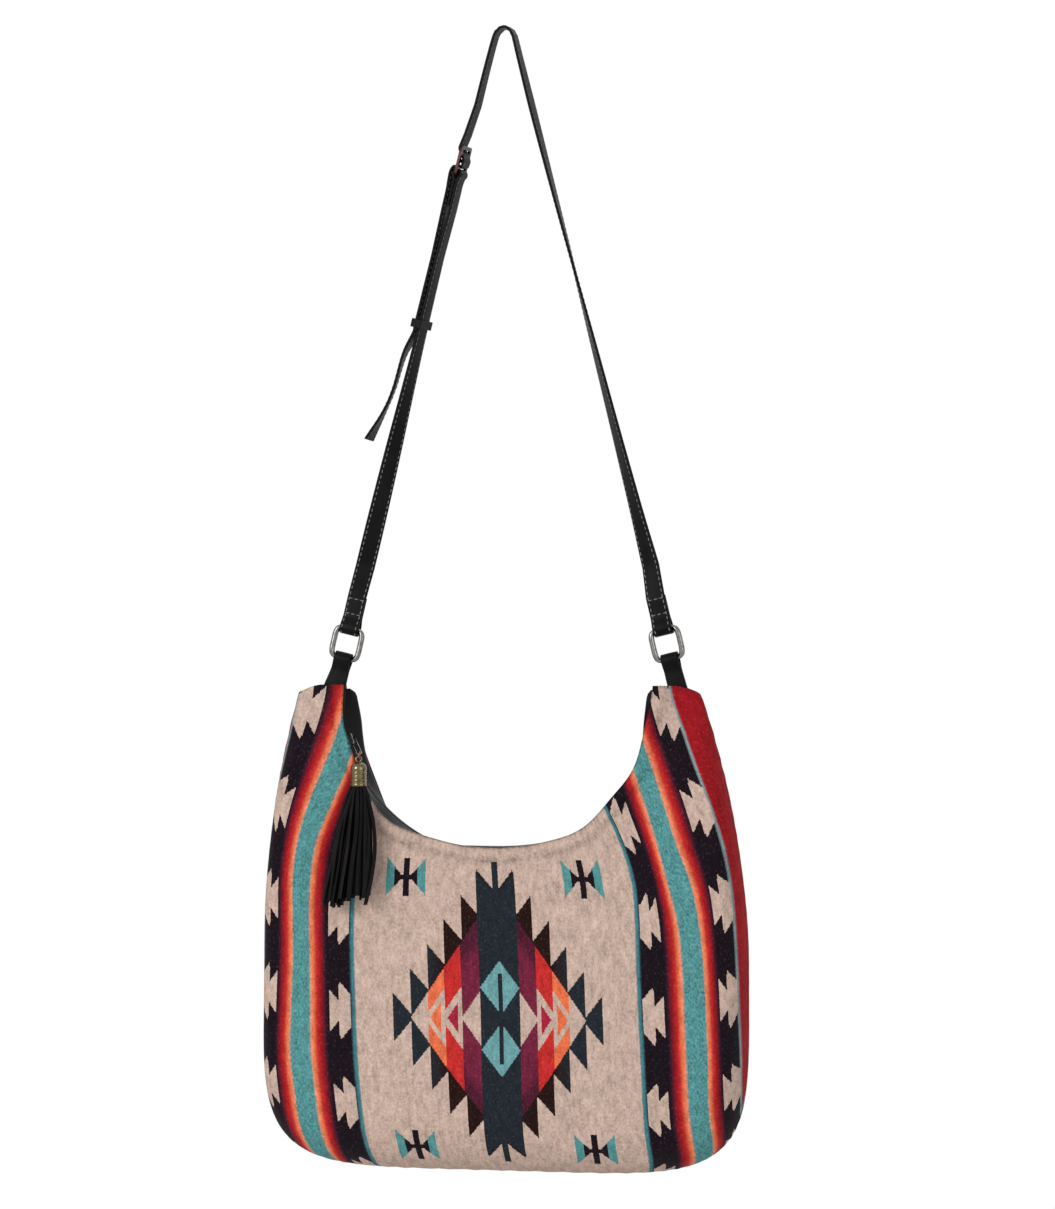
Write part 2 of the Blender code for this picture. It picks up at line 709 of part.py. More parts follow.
def chape(name, side, finish):
    """Make a leather chape: it hangs down from the ring's lower bar into the horn's top seam."""
    bar = bar_point(side, False)
    down = -ring_up(side)
    leg = (bar.z - TOP_SEAM_Z + CHAPE_ROOT) / ring_up(side).z
    front, bend, back = hairpin(bar, down, CHAPE_THICK, leg, leg)
    across = ring_across(side)
    stations = [(point, across) for point in front + bend + back]
    return ribbon(name, stations, CHAPE_WIDTH, CHAPE_THICK, finish)


def width_way(turn):
    """Return the strap's width direction for a turn about Z in degrees."""
    angle = math.radians(turn)
    return Vector((math.sin(angle), math.cos(angle), 0.0))


def route_stations(controls, step):
    """Return stations along a smooth curve through (x, z, turn) or (point, turn) controls."""
    points = [c[0] if isinstance(c[0], Vector) else Vector((c[0], 0.0, c[1])) for c in controls]
    turns = [c[-1] for c in controls]
    mixed = [Vector((p.x, p.y, p.z, 0.001 * t)) for p, t in zip(points, turns)]
    stations = []
    for spot in spline_points(mixed, step):
        point = Vector(spot[:3])
        stations.append((point, 1000.0 * spot[3]))
    dressed = []
    for number, (point, turn) in enumerate(stations):
        before = stations[max(0, number - 1)][0]
        after = stations[min(len(stations) - 1, number + 1)][0]
        run = (after - before).normalized()
        way = width_way(turn)
        dressed.append((point, (way - run * way.dot(run)).normalized()))
    return dressed


def ring_fold(side):
    """Return the stations of a strap's end: down to the ring's upper bar, round it and back up."""
    bar = bar_point(side, True)
    front, bend, back = hairpin(bar, ring_up(side), STRAP_THICK, FOLD_LENGTH, FOLD_LENGTH)
    across = ring_across(side) * side * -1.0
    return [(point, across) for point in front + bend + back]


def slide_frame():
    """Return the slide's middle, its direction down the strap, its outward face and its width."""
    down = Vector((-math.sin(SLIDE_TILT), 0.0, -math.cos(SLIDE_TILT)))
    width = width_way(math.degrees(SLIDE_TURN))
    width = (width - down * width.dot(down)).normalized()
    outward = down.cross(width).normalized()
    if outward.x > 0:
        outward = -outward
    return Vector(SLIDE_MIDDLE), down, outward, width


def weave(spots):
    """Turn (along, outward) places at the slide into points."""
    middle, down, outward, _ = slide_frame()
    return [middle + down * along + outward * out for along, out in spots]


def slide_levels():
    """Return the distances that keep the straps clear of the slide's bars."""
    level = 0.5 * SLIDE_THICK + 0.5 * STRAP_THICK + SLIDE_CLEAR
    low_bar = SLIDE_SLOT + SLIDE_BAR
    loop = math.hypot(0.5 * SLIDE_BAR, 0.5 * SLIDE_THICK) + GAP + 0.5 * STRAP_THICK
    return level, low_bar, loop


def long_strap(finish):
    """Make the long strap: right ring, over the top, through the slide and on to its free tail."""
    level, low_bar, loop = slide_levels()
    turn = math.degrees(SLIDE_TURN)
    half = 0.5 * SLIDE_BAR
    edge = SLIDE_SLOT + half
    over = loop + STRAP_THICK + 2 * GAP
    spots = [(-0.0215, 0.0012), (-edge - 0.0030, level), (-edge, level), (-0.5 * (edge + half), 0.0),
             (-half, -level), (half * 0.6, -level), (half + 0.0024, -0.0022), (half + 0.0031, 0.0012),
             (half + 0.0042, 0.0045), (low_bar - 0.0018, over - 0.0002), (low_bar + 0.0012, over),
             (low_bar + 0.0060, 0.0058), (low_bar + 0.0140, 0.0052), (low_bar + 0.0300, 0.0050)]
    woven = [(point, turn) for point in weave(spots)]
    peak = []
    arc_z = -PEG_RADIUS
    for angle in (50, 25, 0, -25, -50):
        swing = math.radians(angle)
        rise = PEG_RADIUS + 0.5 * STRAP_THICK
        peak.append((Vector((rise * math.sin(swing) * 0.8, 0.0, arc_z + rise * math.cos(swing))), 0.0))
    upper = [(Vector((x, 0.0, z)), t) for x, z, t in reversed(RIGHT_ROUTE)] + peak
    upper += [(Vector((x, 0.0, z)), t) for x, z, t in LEFT_ROUTE]
    beside = []
    outward = slide_frame()[2]
    for x, z, t in LOWER_LEFT_ROUTE[:2]:
        beside.append((Vector((x, 0.0, z)) + outward * TAIL_OFFSET, t))
    beside.append((beside[-1][0] + slide_frame()[1] * KEEPER_LENGTH, beside[-1][1]))
    tail = [(Vector((x, 0.0, z)), t) for x, z, t in TAIL_ROUTE]
    route = route_stations(upper, STRAP_STEP) + route_stations(woven, FOLD_STEP)
    route += route_stations(beside + tail, STRAP_STEP)
    fold = ring_fold(1)
    fold.reverse()
    return ribbon("long_strap", fold + route, STRAP_WIDTH, STRAP_THICK, finish)


def short_strap(finish):
    """Make the short strap: round the slide's lower bar, down the left side and round the ring."""
    _, low_bar, loop = slide_levels()
    turn = math.degrees(SLIDE_TURN)
    rest = 0.5 * (STRAP_THICK + GAP)
    spots = [(low_bar + 0.0260, rest), (low_bar + 0.0160, rest), (low_bar + 0.0080, rest)]
    for angle in range(40, 321, 20):
        swing = math.radians(angle)
        spots.append((low_bar + loop * math.cos(swing), loop * math.sin(swing)))
    spots += [(low_bar + 0.0080, -rest), (low_bar + 0.0160, -rest), (low_bar + 0.0290, -rest)]
    folded = [(point, turn) for point in weave(spots)]
    lower = [(Vector((x, 0.0, z)), t) for x, z, t in LOWER_LEFT_ROUTE]
    route = route_stations(folded, FOLD_STEP) + route_stations(lower, STRAP_STEP)
    return ribbon("short_strap", route + ring_fold(-1), STRAP_WIDTH, STRAP_THICK, finish)


def rounded_loop(data, half_wide, low, high, radius):
    """Add a rounded rectangle to a flat curve."""
    right, bottom, top = half_wide - radius, low + radius, high - radius
    spots = []
    for cx, cy, start in ((right, top, 0), (-right, top, 90), (-right, bottom, 180), (right, bottom, 270)):
        for i in range(4):
            angle = math.radians(start + 30 * i)
            spots.append((cx + radius * math.cos(angle), cy + radius * math.sin(angle)))
    spline = data.splines.new("POLY")
    spline.points.add(len(spots) - 1)
    for number, (x, y) in enumerate(spots):
        spline.points[number].co = (x, y, 0.0, 1.0)
    spline.use_cyclic_u = True


def strap_slide(finish):
    """Make the three-bar slide as a flat plate with two slots."""
    middle, down, outward, width = slide_frame()
    half_wide = 0.5 * STRAP_WIDTH + 0.0006
    half_tall = 1.5 * SLIDE_BAR + SLIDE_SLOT
    data = bpy.data.curves.new("strap_slide", "CURVE")
    data.dimensions = "2D"
    data.fill_mode = "BOTH"
    data.extrude = 0.5 * SLIDE_THICK
    rounded_loop(data, half_wide + SLIDE_SIDE, -half_tall, half_tall, SLIDE_CORNER)
    for near in (0.5 * SLIDE_BAR, -0.5 * SLIDE_BAR - SLIDE_SLOT):
        rounded_loop(data, half_wide, near, near + SLIDE_SLOT, SLOT_CORNER)
    slide = place("strap_slide", data, finish)
    frame = Matrix((width, -down, width.cross(-down))).transposed().to_4x4()
    frame.translation = middle
    slide.matrix_world = frame
    return slide


def strap_keeper(finish):
    """Make the leather band that holds the tail against the short strap."""
    x, z, turn = LOWER_LEFT_ROUTE[KEEPER_STATION]
    above = LOWER_LEFT_ROUTE[KEEPER_STATION - 1]
    outward = slide_frame()[2]
    half_wide = 0.5 * STRAP_WIDTH + KEEPER_SIDE_GAP + 0.5 * KEEPER_THICK
    rest = 0.5 * STRAP_THICK + GAP + 0.5 * KEEPER_THICK
    low, high = -rest, TAIL_OFFSET + rest
    way = width_way(turn)
    down = Vector((x - above[0], 0.0, z - above[1])).normalized()
    way = (way - down * way.dot(down)).normalized()
    face = down.cross(way).normalized()
    face = face if face.dot(outward) > 0 else -face
    corners = ((half_wide, low), (half_wide, high), (-half_wide, high), (-half_wide, low))
    centre = Vector((x, 0.0, z))
    shape = bmesh.new()
    loops = []
    for end in (-0.5, 0.5):
        middle = centre + down * KEEPER_LENGTH * end
        loops.append([shape.verts.new(middle + way * a + face * b) for a, b in corners])
    for i in range(4):
        j = (i + 1) % 4
        shape.faces.new((loops[0][i], loops[0][j], loops[1][j], loops[1][i]))
    bmesh.ops.recalc_face_normals(shape, faces=shape.faces)
    return solidify(from_bmesh("strap_keeper", shape, finish), KEEPER_THICK, 0.0)


clear_scene()
BAG = new_collection("crossbody_bag")
CUTTERS = new_collection("cutters")
BELLY_POINT = Vector((0.0, -BELLY_HALF, TOP_SEAM_Z - 0.75 * BAG_DROP))

CLOTH = material("woven_cloth", (0.56, 0.41, 0.34), 0.95)
LINING = material("lining_cloth", (0.015, 0.013, 0.016), 0.9)
TAPE = material("zip_tape", (0.012, 0.011, 0.013), 0.9)
COIL = material("zip_coil", (0.02, 0.02, 0.022), 0.5)
LEATHER = material("black_leather", (0.012, 0.010, 0.012), 0.5)
NICKEL = material("polished_nickel", (0.75, 0.74, 0.72), 0.2, 1.0)
BRONZE = material("dark_bronze", (0.20, 0.12, 0.08), 0.3, 1.0)
COPPER = material("copper_wire", (0.60, 0.32, 0.24), 0.3, 1.0)
BRASS = material("pale_brass", (0.60, 0.50, 0.32), 0.25, 1.0)


def build():
    """Make every piece of the bag."""
    cloth_shell("front_panel", False, 0.0, PANEL_THICK, CLOTH)
    cloth_shell("back_panel", True, 0.0, PANEL_THICK, CLOTH)
    cloth_shell("front_lining", False, LINING_INSET, LINING_THICK, LINING, LINING_TRIM, (0, 1))
    cloth_shell("back_lining", True, LINING_INSET, LINING_THICK, LINING, LINING_TRIM, (0, 1))
    zip_tape("front_zip_tape", False, TAPE)
    zip_tape("back_zip_tape", True, TAPE)
    zip_coil("front_zip_coil", False, COIL)
    zip_coil("back_zip_coil", True, COIL)
    zip_stop("zip_top_stop", True, NICKEL)
    zip_stop("zip_bottom_stop", False, NICKEL)
    zip_slider(NICKEL)
    zip_pull(NICKEL)
    pull_link(COPPER)
    tassel_cap(BRASS)
    tassel_fringe(LEATHER)
    for name, side in (("left", -1), ("right", 1)):
        chape(name + "_chape", side, LEATHER)
        oval_ring(name + "_ring", side, NICKEL)
    short_strap(LEATHER)
    long_strap(LEATHER)
    strap_slide(BRONZE)
    strap_keeper(LEATHER)


build()
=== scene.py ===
"""Looks of the crossbody bag: woven cloth, zip, tassel, leather straps and metal fittings.

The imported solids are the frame. Each soft piece is rebuilt here at full detail in the place of its
solid, and every piece gets a finish made of shader nodes. Metres, +Z up, the origin under the top of
the strap; the pattern of the cloth is set out in millimetres from the middle of its medallion.
"""
import json
import logging
import math
import random
from dataclasses import dataclass
from enum import Enum
from functools import cached_property
from typing import Optional, Sequence, Union

import bmesh
import bpy
from mathutils import Matrix, Vector, noise

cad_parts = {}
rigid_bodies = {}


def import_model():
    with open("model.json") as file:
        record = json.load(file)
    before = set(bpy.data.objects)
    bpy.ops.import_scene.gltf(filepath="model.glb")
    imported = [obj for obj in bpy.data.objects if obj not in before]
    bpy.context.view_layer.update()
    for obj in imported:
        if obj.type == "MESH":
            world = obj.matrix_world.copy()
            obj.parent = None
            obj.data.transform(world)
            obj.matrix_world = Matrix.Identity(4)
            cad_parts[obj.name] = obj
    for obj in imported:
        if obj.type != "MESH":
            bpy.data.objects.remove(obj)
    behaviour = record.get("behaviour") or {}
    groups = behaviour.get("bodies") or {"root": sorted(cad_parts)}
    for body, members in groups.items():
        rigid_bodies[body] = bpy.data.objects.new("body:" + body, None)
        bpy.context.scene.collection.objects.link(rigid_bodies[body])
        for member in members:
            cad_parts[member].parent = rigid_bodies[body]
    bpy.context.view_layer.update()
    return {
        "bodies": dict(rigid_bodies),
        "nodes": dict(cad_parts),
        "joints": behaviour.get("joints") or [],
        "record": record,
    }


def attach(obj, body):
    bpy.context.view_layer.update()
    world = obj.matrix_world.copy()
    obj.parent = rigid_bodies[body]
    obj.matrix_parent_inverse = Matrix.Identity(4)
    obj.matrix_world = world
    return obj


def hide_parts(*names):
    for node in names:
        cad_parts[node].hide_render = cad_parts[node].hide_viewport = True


LOG = logging.getLogger("crossbody_bag")
UP = Vector((0.0, 0.0, 1.0))
DEPTH = Vector((0.0, 1.0, 0.0))
WELD = 1e-7
WAVE_SCALE = 0.314
Pair = tuple[float, float]
Triple = tuple[float, float, float]
Four = tuple[float, float, float, float]
Pairs = Sequence[Pair]
Station = tuple[Vector, Vector]
Piece = bpy.types.Object
Shape = bmesh.types.BMesh
Material = bpy.types.Material
Tree = bpy.types.NodeTree
Socket = bpy.types.NodeSocket
Number = Union["Field", float]
Colour = Union[Socket, str]


class Side(Enum):
    """Which half of the bag a piece belongs to."""

    FRONT = -1.0
    BACK = 1.0


class Horn(Enum):
    """Which of the bag's two horns a fitting belongs to."""

    LEFT = -1.0
    RIGHT = 1.0


def smooth_step(value: float) -> float:
    """Ease from 0 to 1 as the value does."""
    value = min(max(value, 0.0), 1.0)
    return value * value * (3.0 - 2.0 * value)


def bell(place: float, middle: float, width: float) -> float:
    """Return 1 at the middle, falling smoothly to nothing about two widths away."""
    return math.exp(-((place - middle) / width) ** 2)


def linear(code: str) -> Four:
    """Turn an sRGB hex code into the linear colour, with an alpha of 1, that a socket takes."""
    parts = [int(code[i:i + 2], 16) / 255.0 for i in (1, 3, 5)]
    bent = [c / 12.92 if c <= 0.04045 else ((c + 0.055) / 1.055) ** 2.4 for c in parts]
    return (bent[0], bent[1], bent[2], 1.0)


# Shader nodes


def fill(node: bpy.types.Node, values: dict) -> None:
    """Link or set a node's inputs.

    Args:
        node: the node.
        values: inputs by name or number, each a socket, a Field or a plain value.
    """
    for name, value in values.items():
        value = value.socket if isinstance(value, Field) else value
        if isinstance(value, Socket):
            node.id_data.links.new(value, node.inputs[name])
        else:
            node.inputs[name].default_value = value


def add_node(tree: Tree, kind: str, settings: Optional[dict] = None,
             links: Optional[dict] = None) -> bpy.types.Node:
    """Add a node, give it its settings and link or fill its inputs.

    Args:
        tree: the material's node tree.
        kind: the node's type name without the ShaderNode prefix.
        settings: attributes of the node.
        links: inputs by name or number, each a socket, a Field or a plain value.

    Returns:
        The new node.
    """
    node = tree.nodes.new("ShaderNode" + kind)
    for name, value in (settings or {}).items():
        setattr(node, name, value)
    fill(node, links or {})
    return node


class Field:
    """A number that varies over a surface, with the arithmetic of Math nodes."""

    def __init__(self, tree: Tree, socket: Socket) -> None:
        """Wrap a socket of a tree."""
        self.tree = tree
        self.socket = socket

    def math(self, operation: str, *others: Number) -> "Field":
        """Apply a Math node to this number and up to two more."""
        node = add_node(self.tree, "Math", {"operation": operation}, dict(enumerate((self, *others))))
        return Field(self.tree, node.outputs[0])

    def __add__(self, other: Number) -> "Field":
        """Add a number."""
        return self.math("ADD", other)

    def __sub__(self, other: Number) -> "Field":
        """Take a number away."""
        return self.math("SUBTRACT", other)

    def __mul__(self, other: Number) -> "Field":
        """Multiply by a number; masks multiply as logical and."""
        return self.math("MULTIPLY", other)

    def __abs__(self) -> "Field":
        """Return the size without the sign."""
        return self.math("ABSOLUTE")

    def __or__(self, other: "Field") -> "Field":
        """Return the larger; masks join as logical or."""
        return self.math("MAXIMUM", other)

    def held(self, low: Optional[float] = None, high: Optional[float] = None) -> "Field":
        """Keep the number above a lowest and below a highest value, where they are given."""
        raised = self if low is None else self.math("MAXIMUM", low)
        return raised if high is None else raised.math("MINIMUM", high)

    def over(self, level: Number) -> "Field":
        """Return 1 where the number is greater than a level, else 0."""
        return self.math("GREATER_THAN", level)

    def under(self, level: Number) -> "Field":
        """Return 1 where the number is less than a level, else 0."""
        return self.math("LESS_THAN", level)

    def between(self, low: Number, high: Number) -> "Field":
        """Return 1 where the number lies between two levels."""
        return self.over(low) * self.under(high)

    def snapped(self, pitch: float) -> "Field":
        """Round to steps of a pitch, as a loom does."""
        return self.math("SNAP", pitch) + 0.5 * pitch


@dataclass(frozen=True)
class Grain:
    """The scale, detail and stretch of a smooth noise."""

    scale: float
    detail: float = 2.0
    stretch: Triple = (1.0, 1.0, 1.0)


class Surface:
    """A material with its shader and the coordinates that its patterns lie on."""

    def __init__(self, name: str, uv_map: str = "") -> None:
        """Make the material, on a UV map where one is named and else on Object coordinates."""
        self.material = bpy.data.materials.new(name)
        self.material.use_nodes = True
        self.tree = self.material.node_tree
        self.uv_map = uv_map

    @cached_property
    def place(self) -> Socket:
        """Return the coordinates that the patterns lie on."""
        if self.uv_map:
            return add_node(self.tree, "UVMap", {"uv_map": self.uv_map}).outputs[0]
        return add_node(self.tree, "TexCoord").outputs["Object"]

    def noise(self, grain: Grain) -> Field:
        """Return smooth noise from 0 to 1."""
        mapped = add_node(self.tree, "Mapping", links={"Vector": self.place, "Scale": grain.stretch})
        node = add_node(self.tree, "TexNoise", links={"Vector": mapped.outputs[0], "Scale": grain.scale,
                                                      "Detail": grain.detail})
        return Field(self.tree, node.outputs[0])

    def ribs(self, pitch: float, distortion: float, turn: Triple = (0.0, 0.0, 0.0),
             bands: str = "X", more: Optional[dict] = None) -> Field:
        """Return the height of parallel threads or strands.

        Args:
            pitch: their spacing, in the coordinates' unit.
            distortion: how unevenly they run.
            turn: how the coordinates are turned first, in radians.
            bands: the direction that they repeat in.
            more: other inputs of the wave.

        Returns:
            The height, from 0 to 1.
        """
        mapped = add_node(self.tree, "Mapping", links={"Vector": self.place, "Rotation": turn})
        links = {"Vector": mapped.outputs[0], "Scale": WAVE_SCALE / pitch, "Distortion": distortion}
        node = add_node(self.tree, "TexWave", {"bands_direction": bands}, links | (more or {}))
        return Field(self.tree, node.outputs[1])

    def ramp(self, value: Field, span: float, stops: Sequence[tuple[float, str]],
             step: bool = False) -> Socket:
        """Colour a number by stops given in its own unit.

        Args:
            value: the number.
            span: the number at which the ramp ends.
            stops: (number, hex colour) pairs in rising order.
            step: true for flat fields of colour.

        Returns:
            The colour socket.
        """
        node = add_node(self.tree, "ValToRGB", links={0: value * (1.0 / span)})
        band = node.color_ramp
        band.interpolation = "CONSTANT" if step else "LINEAR"
        while len(band.elements) < len(stops):
            band.elements.new(1.0)
        for element, (place, code) in zip(band.elements, stops):
            element.position = place / span
            element.color = linear(code)
        return node.outputs["Color"]

    def mixed(self, base: Colour, top: Colour, mask: Number, blend: str = "MIX") -> Socket:
        """Lay one colour over another where a mask says; each is a socket or a hex code."""
        base, top = (linear(c) if isinstance(c, str) else c for c in (base, top))
        node = add_node(self.tree, "Mix", {"data_type": "RGBA", "blend_type": blend},
                        {0: mask, 6: base, 7: top})
        return node.outputs[2]

    def bump(self, height: Field, distance: float, strength: float,
             under: Optional[Socket] = None) -> Socket:
        """Return a normal bumped by a height, over another bump where one is given."""
        links = {"Height": height, "Distance": distance, "Strength": strength}
        if under is not None:
            links["Normal"] = under
        return add_node(self.tree, "Bump", links=links).outputs[0]

    def finished(self, values: dict) -> Material:
        """Fill the Principled shader's inputs and return the material."""
        fill(self.tree.nodes["Principled BSDF"], values)
        return self.material


# Finishes


@dataclass(frozen=True)
class BlanketCloth:
    """Woven jacquard blanket cloth with serrated stripes, bow-ties and a stepped medallion.

    Made as flat fields of colour on the cloth's own UV map, in millimetres from the medallion's
    middle, snapped to the loom's pitch, then heathered by noise and given a twill of crossing ribs.
    """

    name: str = "woven_blanket_cloth"
    beige: str = "#BBA396"
    teal: str = "#508A8B"
    bright_teal: str = "#66979A"
    black: str = "#170F17"
    navy: str = "#20262D"
    brown_black: str = "#22110F"
    red: str = "#94161E"
    bright_red: str = "#B92B2A"
    orange: str = "#D96B45"
    pale_orange: str = "#DE8766"
    burgundy: str = "#6C2139"
    plum: str = "#381525"
    crimson: str = "#9A2138"
    grey_teal: str = "#7C9395"
    thin_line: str = "#3D737C"
    lint: str = "#C9B5A9"
    thread_across: float = 0.85
    thread_down: float = 0.8
    ragged: float = 0.7
    column_half: float = 15.8
    column_edge: float = 0.8
    column_notch: Triple = (5.4, 1.50, 103.6)
    spine: Pair = (2.6, 127.5)
    tooth_width: float = 14.1
    tooth_count: int = 5
    tooth_drop: float = 20.2
    tooth_slope: float = 16.8
    tooth_top: float = 100.4
    diamond_half: float = 71.7
    edge_slope: float = 1.455
    band_ends: Triple = (30.5, 44.1, 57.7)
    band_starts: Triple = (45.6, 70.3, 88.4)
    orange_gap: Triple = (47.8, 57.0, 82.2)
    crimson_gap: Triple = (33.8, 43.0, 61.8)
    gem: Triple = (25.2, 1.36, 21.8)
    gem_spine: Pair = (1.55, 36.5)
    motif_pitch: float = 76.8
    teal_centre: float = 161.0
    teal_half: float = 9.0
    inner_motif: Pair = (32.0, -4.5)
    outer_motif: Pair = (30.5, -19.0)
    near_bar: Four = (-1.25, 7.4, -7.6, 0.2)
    far_bar: Four = (-1.22, 24.4, 0.1, 9.3)
    far_tip: Pair = (6.0, 19.5)
    bow_across: float = 74.0
    bow_down: float = 112.5
    bow_rise: float = 1.7
    bow_wing: Four = (16.6, 4.4, 1.12, 1.9)
    bow_core: float = 9.8
    bow_spine: Pair = (2.7, 15.8)
    plum_fade: Triple = (78.0, 0.05, 0.75)
    wool: Four = (0.95, 0.36, 0.95, 0.13)
    teal_speck: float = 0.9
    # painted shade: a thin dark line along the rim's edge, and a soft cloudy dark band along the crease about
    # 10 mm below it
    rim_edge_shade: Pair = (1.6, 0.42)
    rim_crease_shade: Four = (10.5, 0.20, 0.9, 0.20)
    darkest: float = 0.2
    last_stop: float = 240.0
    rag: Grain = Grain(0.55, 1.0)
    heather: Grain = Grain(0.24, 3.0, (1.0, 0.40, 1.0))
    cloud: Grain = Grain(0.045)
    speck: Grain = Grain(0.60, 2.0, (1.0, 0.7, 1.0))
    fuzz: Grain = Grain(1.6, 3.0)
    twill_turn: float = math.radians(58.0)

    def stripe_stops(self) -> list[tuple[float, str]]:
        """Return the stripes' colours by distance from the medallion's middle, in millimetres."""
        mid = self.teal_centre
        rise = [(-22.4, self.black), (-20.6, self.plum), (-16.8, self.red), (-13.6, self.bright_red),
                (-11.4, self.orange), (-9.0, self.pale_orange), (-7.9, self.teal)]
        fall = [(-place, code) for place, code in reversed(rise)]
        before = [(-45.6, self.beige), (-45.2, self.thin_line), (-42.2, self.thin_line), (-41.8, self.black)]
        after = [(39.0, self.black), (39.3, self.grey_teal), (41.2, self.grey_teal), (41.6, self.red),
                 (60.0, self.red)]
        return ([(0.0, self.beige)] + [(mid + place, code) for place, code in before + rise + fall + after]
                + [(self.last_stop, self.red)])

    def lightning(self, across: Field, down: Field, middle: float, phase: float) -> Field:
        """Return the mask of one column of two-barred lightning figures.

        Args:
            across: distance from the teal stripe's middle, its size only.
            down: distance down the cloth.
            middle: the column's distance from the teal stripe's middle.
            phase: where one figure's middle lies down the cloth.

        Returns:
            The mask, 1 inside a figure.
        """
        place = (down - phase).math("WRAP", -0.5 * self.motif_pitch, 0.5 * self.motif_pitch)
        tall = abs(place)
        q = across - middle
        slope, reach, start, end = self.near_bar
        near = tall.under(q * slope + reach) * q.between(start, end)
        slope, reach, start, end = self.far_bar
        tip = tall.under(q * self.far_tip[0] + self.far_tip[1])
        return near | (tall.under(q * slope + reach) * tip * q.between(start, end))

    def teeth(self, cloth: Surface, base: Socket, u: Field, v: Field) -> Socket:
        """Lay the medallion's dark outer teeth over the ground colour and return the colour."""
        start = self.column_half - self.column_edge
        number = ((u - start) * (1.0 / self.tooth_width)).held(-0.99)
        step, part = number.math("FLOOR"), number.math("FRACT")
        tooth = part * self.tooth_slope - step * self.tooth_drop + (self.tooth_top - self.tooth_slope)
        dark = v.under(tooth) * u.under(start + self.tooth_count * self.tooth_width)
        shade = cloth.ramp(u, 100.0, ((0.0, self.navy), (18.0, self.brown_black),
                                      (44.0, self.brown_black), (58.0, self.navy)))
        return cloth.mixed(base, shade, dark)

    def medallion(self, cloth: Surface, base: Socket, u: Field,
                  v: Field) -> Socket:
        """Lay the stepped medallion over the ground colour.

        Args:
            cloth: the material.
            base: the ground colour.
            u: the distance across from the medallion's middle.
            v: the distance up or down from it.

        Returns:
            The colour socket.
        """
        colour = self.teeth(cloth, base, u, v)
        line = v + u * self.edge_slope
        inside = line.under(self.edge_slope * self.diamond_half)
        colour = cloth.mixed(colour, self.beige, inside)
        one, two, three = self.band_ends
        bands = cloth.ramp(u, 100.0, ((0.0, self.burgundy), (one, self.bright_red), (two, self.orange),
                                      (three, self.beige)), step=True)
        first, second, third = (line.over(level) for level in self.band_starts)
        outer = (u.under(one) * first) | (u.between(one, two) * second) | (u.between(two, three) * third)
        colour = cloth.mixed(colour, bands, inside * outer)
        start, slope, most = self.plum_fade
        fade = ((line - start) * slope).held(0.0, most)
        colour = cloth.mixed(colour, self.plum, inside * u.under(one) * fade)
        for paint, (near, far, level) in ((self.orange, self.orange_gap), (self.crimson, self.crimson_gap)):
            colour = cloth.mixed(colour, paint, u.between(near, far) * line.under(level))
        start, slope, top = self.column_notch
        notch = (u - start).held(0.0) * slope + top
        half, tall = self.spine
        column = (u.under(self.column_half) * v.under(notch)) | (u.under(half) * v.under(tall))
        colour = cloth.mixed(colour, self.navy, column)
        middle, slope, size = self.gem
        colour = cloth.mixed(colour, self.bright_teal, (u * slope + abs(v - middle)).under(size))
        half, tall = self.gem_spine
        return cloth.mixed(colour, self.navy, u.under(half) * v.under(tall))

    def bow_tie(self, cloth: Surface, base: Socket, u: Field,
                v: Field) -> Socket:
        """Lay the four bow-ties over the ground colour and return the colour."""
        across = abs(u - self.bow_across)
        tall = abs(v - self.bow_down)
        reach, waist, slope, half = self.bow_wing
        wing = across.under(reach) * tall.under(((across - waist) * slope).held(0.0) + half)
        colour = cloth.mixed(base, self.teal, wing)
        colour = cloth.mixed(colour, self.black, wing * across.under(self.bow_core))
        half, height = self.bow_spine
        return cloth.mixed(colour, self.black, across.under(half) * tall.under(height))

    def light(self, cloth: Surface, size: Field, cloudy: Field, speck: Field) -> Field:
        """Return how light the wool is: heathered, speckled in the teal, with painted shade along the rim's
        edge and in the crease below it.

        Args:
            cloth: the material.
            size: the distance from the cloth's middle.
            cloudy: the broad noise.
            speck: the noise of single tufts.

        Returns:
            The number that the colours are multiplied by.
        """
        heathered, clouded, speckled, less = self.wool
        light = cloth.noise(self.heather) * heathered + cloudy * clouded + speck * speckled - less
        teal = size.between(self.teal_centre - self.teal_half, self.teal_centre + self.teal_half)
        light = light + (speck - 0.5) * teal * self.teal_speck
        rim = Field(cloth.tree, add_node(cloth.tree, "Attribute",
                                         {"attribute_name": "from_rim"}).outputs["Fac"])
        # painted shade: the wool is darkened in a thin line at the rim's edge and in a cloudy band over the
        # crease under the rim
        reach, strength = self.rim_edge_shade
        painted_rim_shade = (rim * -1.0 + reach).held(0.0, 1.0) * strength
        middle, slope, clouded, less = self.rim_crease_shade
        crease = (abs(rim - middle) * -slope + 1.0).held(0.0) * (cloudy * clouded - less)
        return (light - painted_rim_shade - crease.held(0.0)).held(self.darkest)

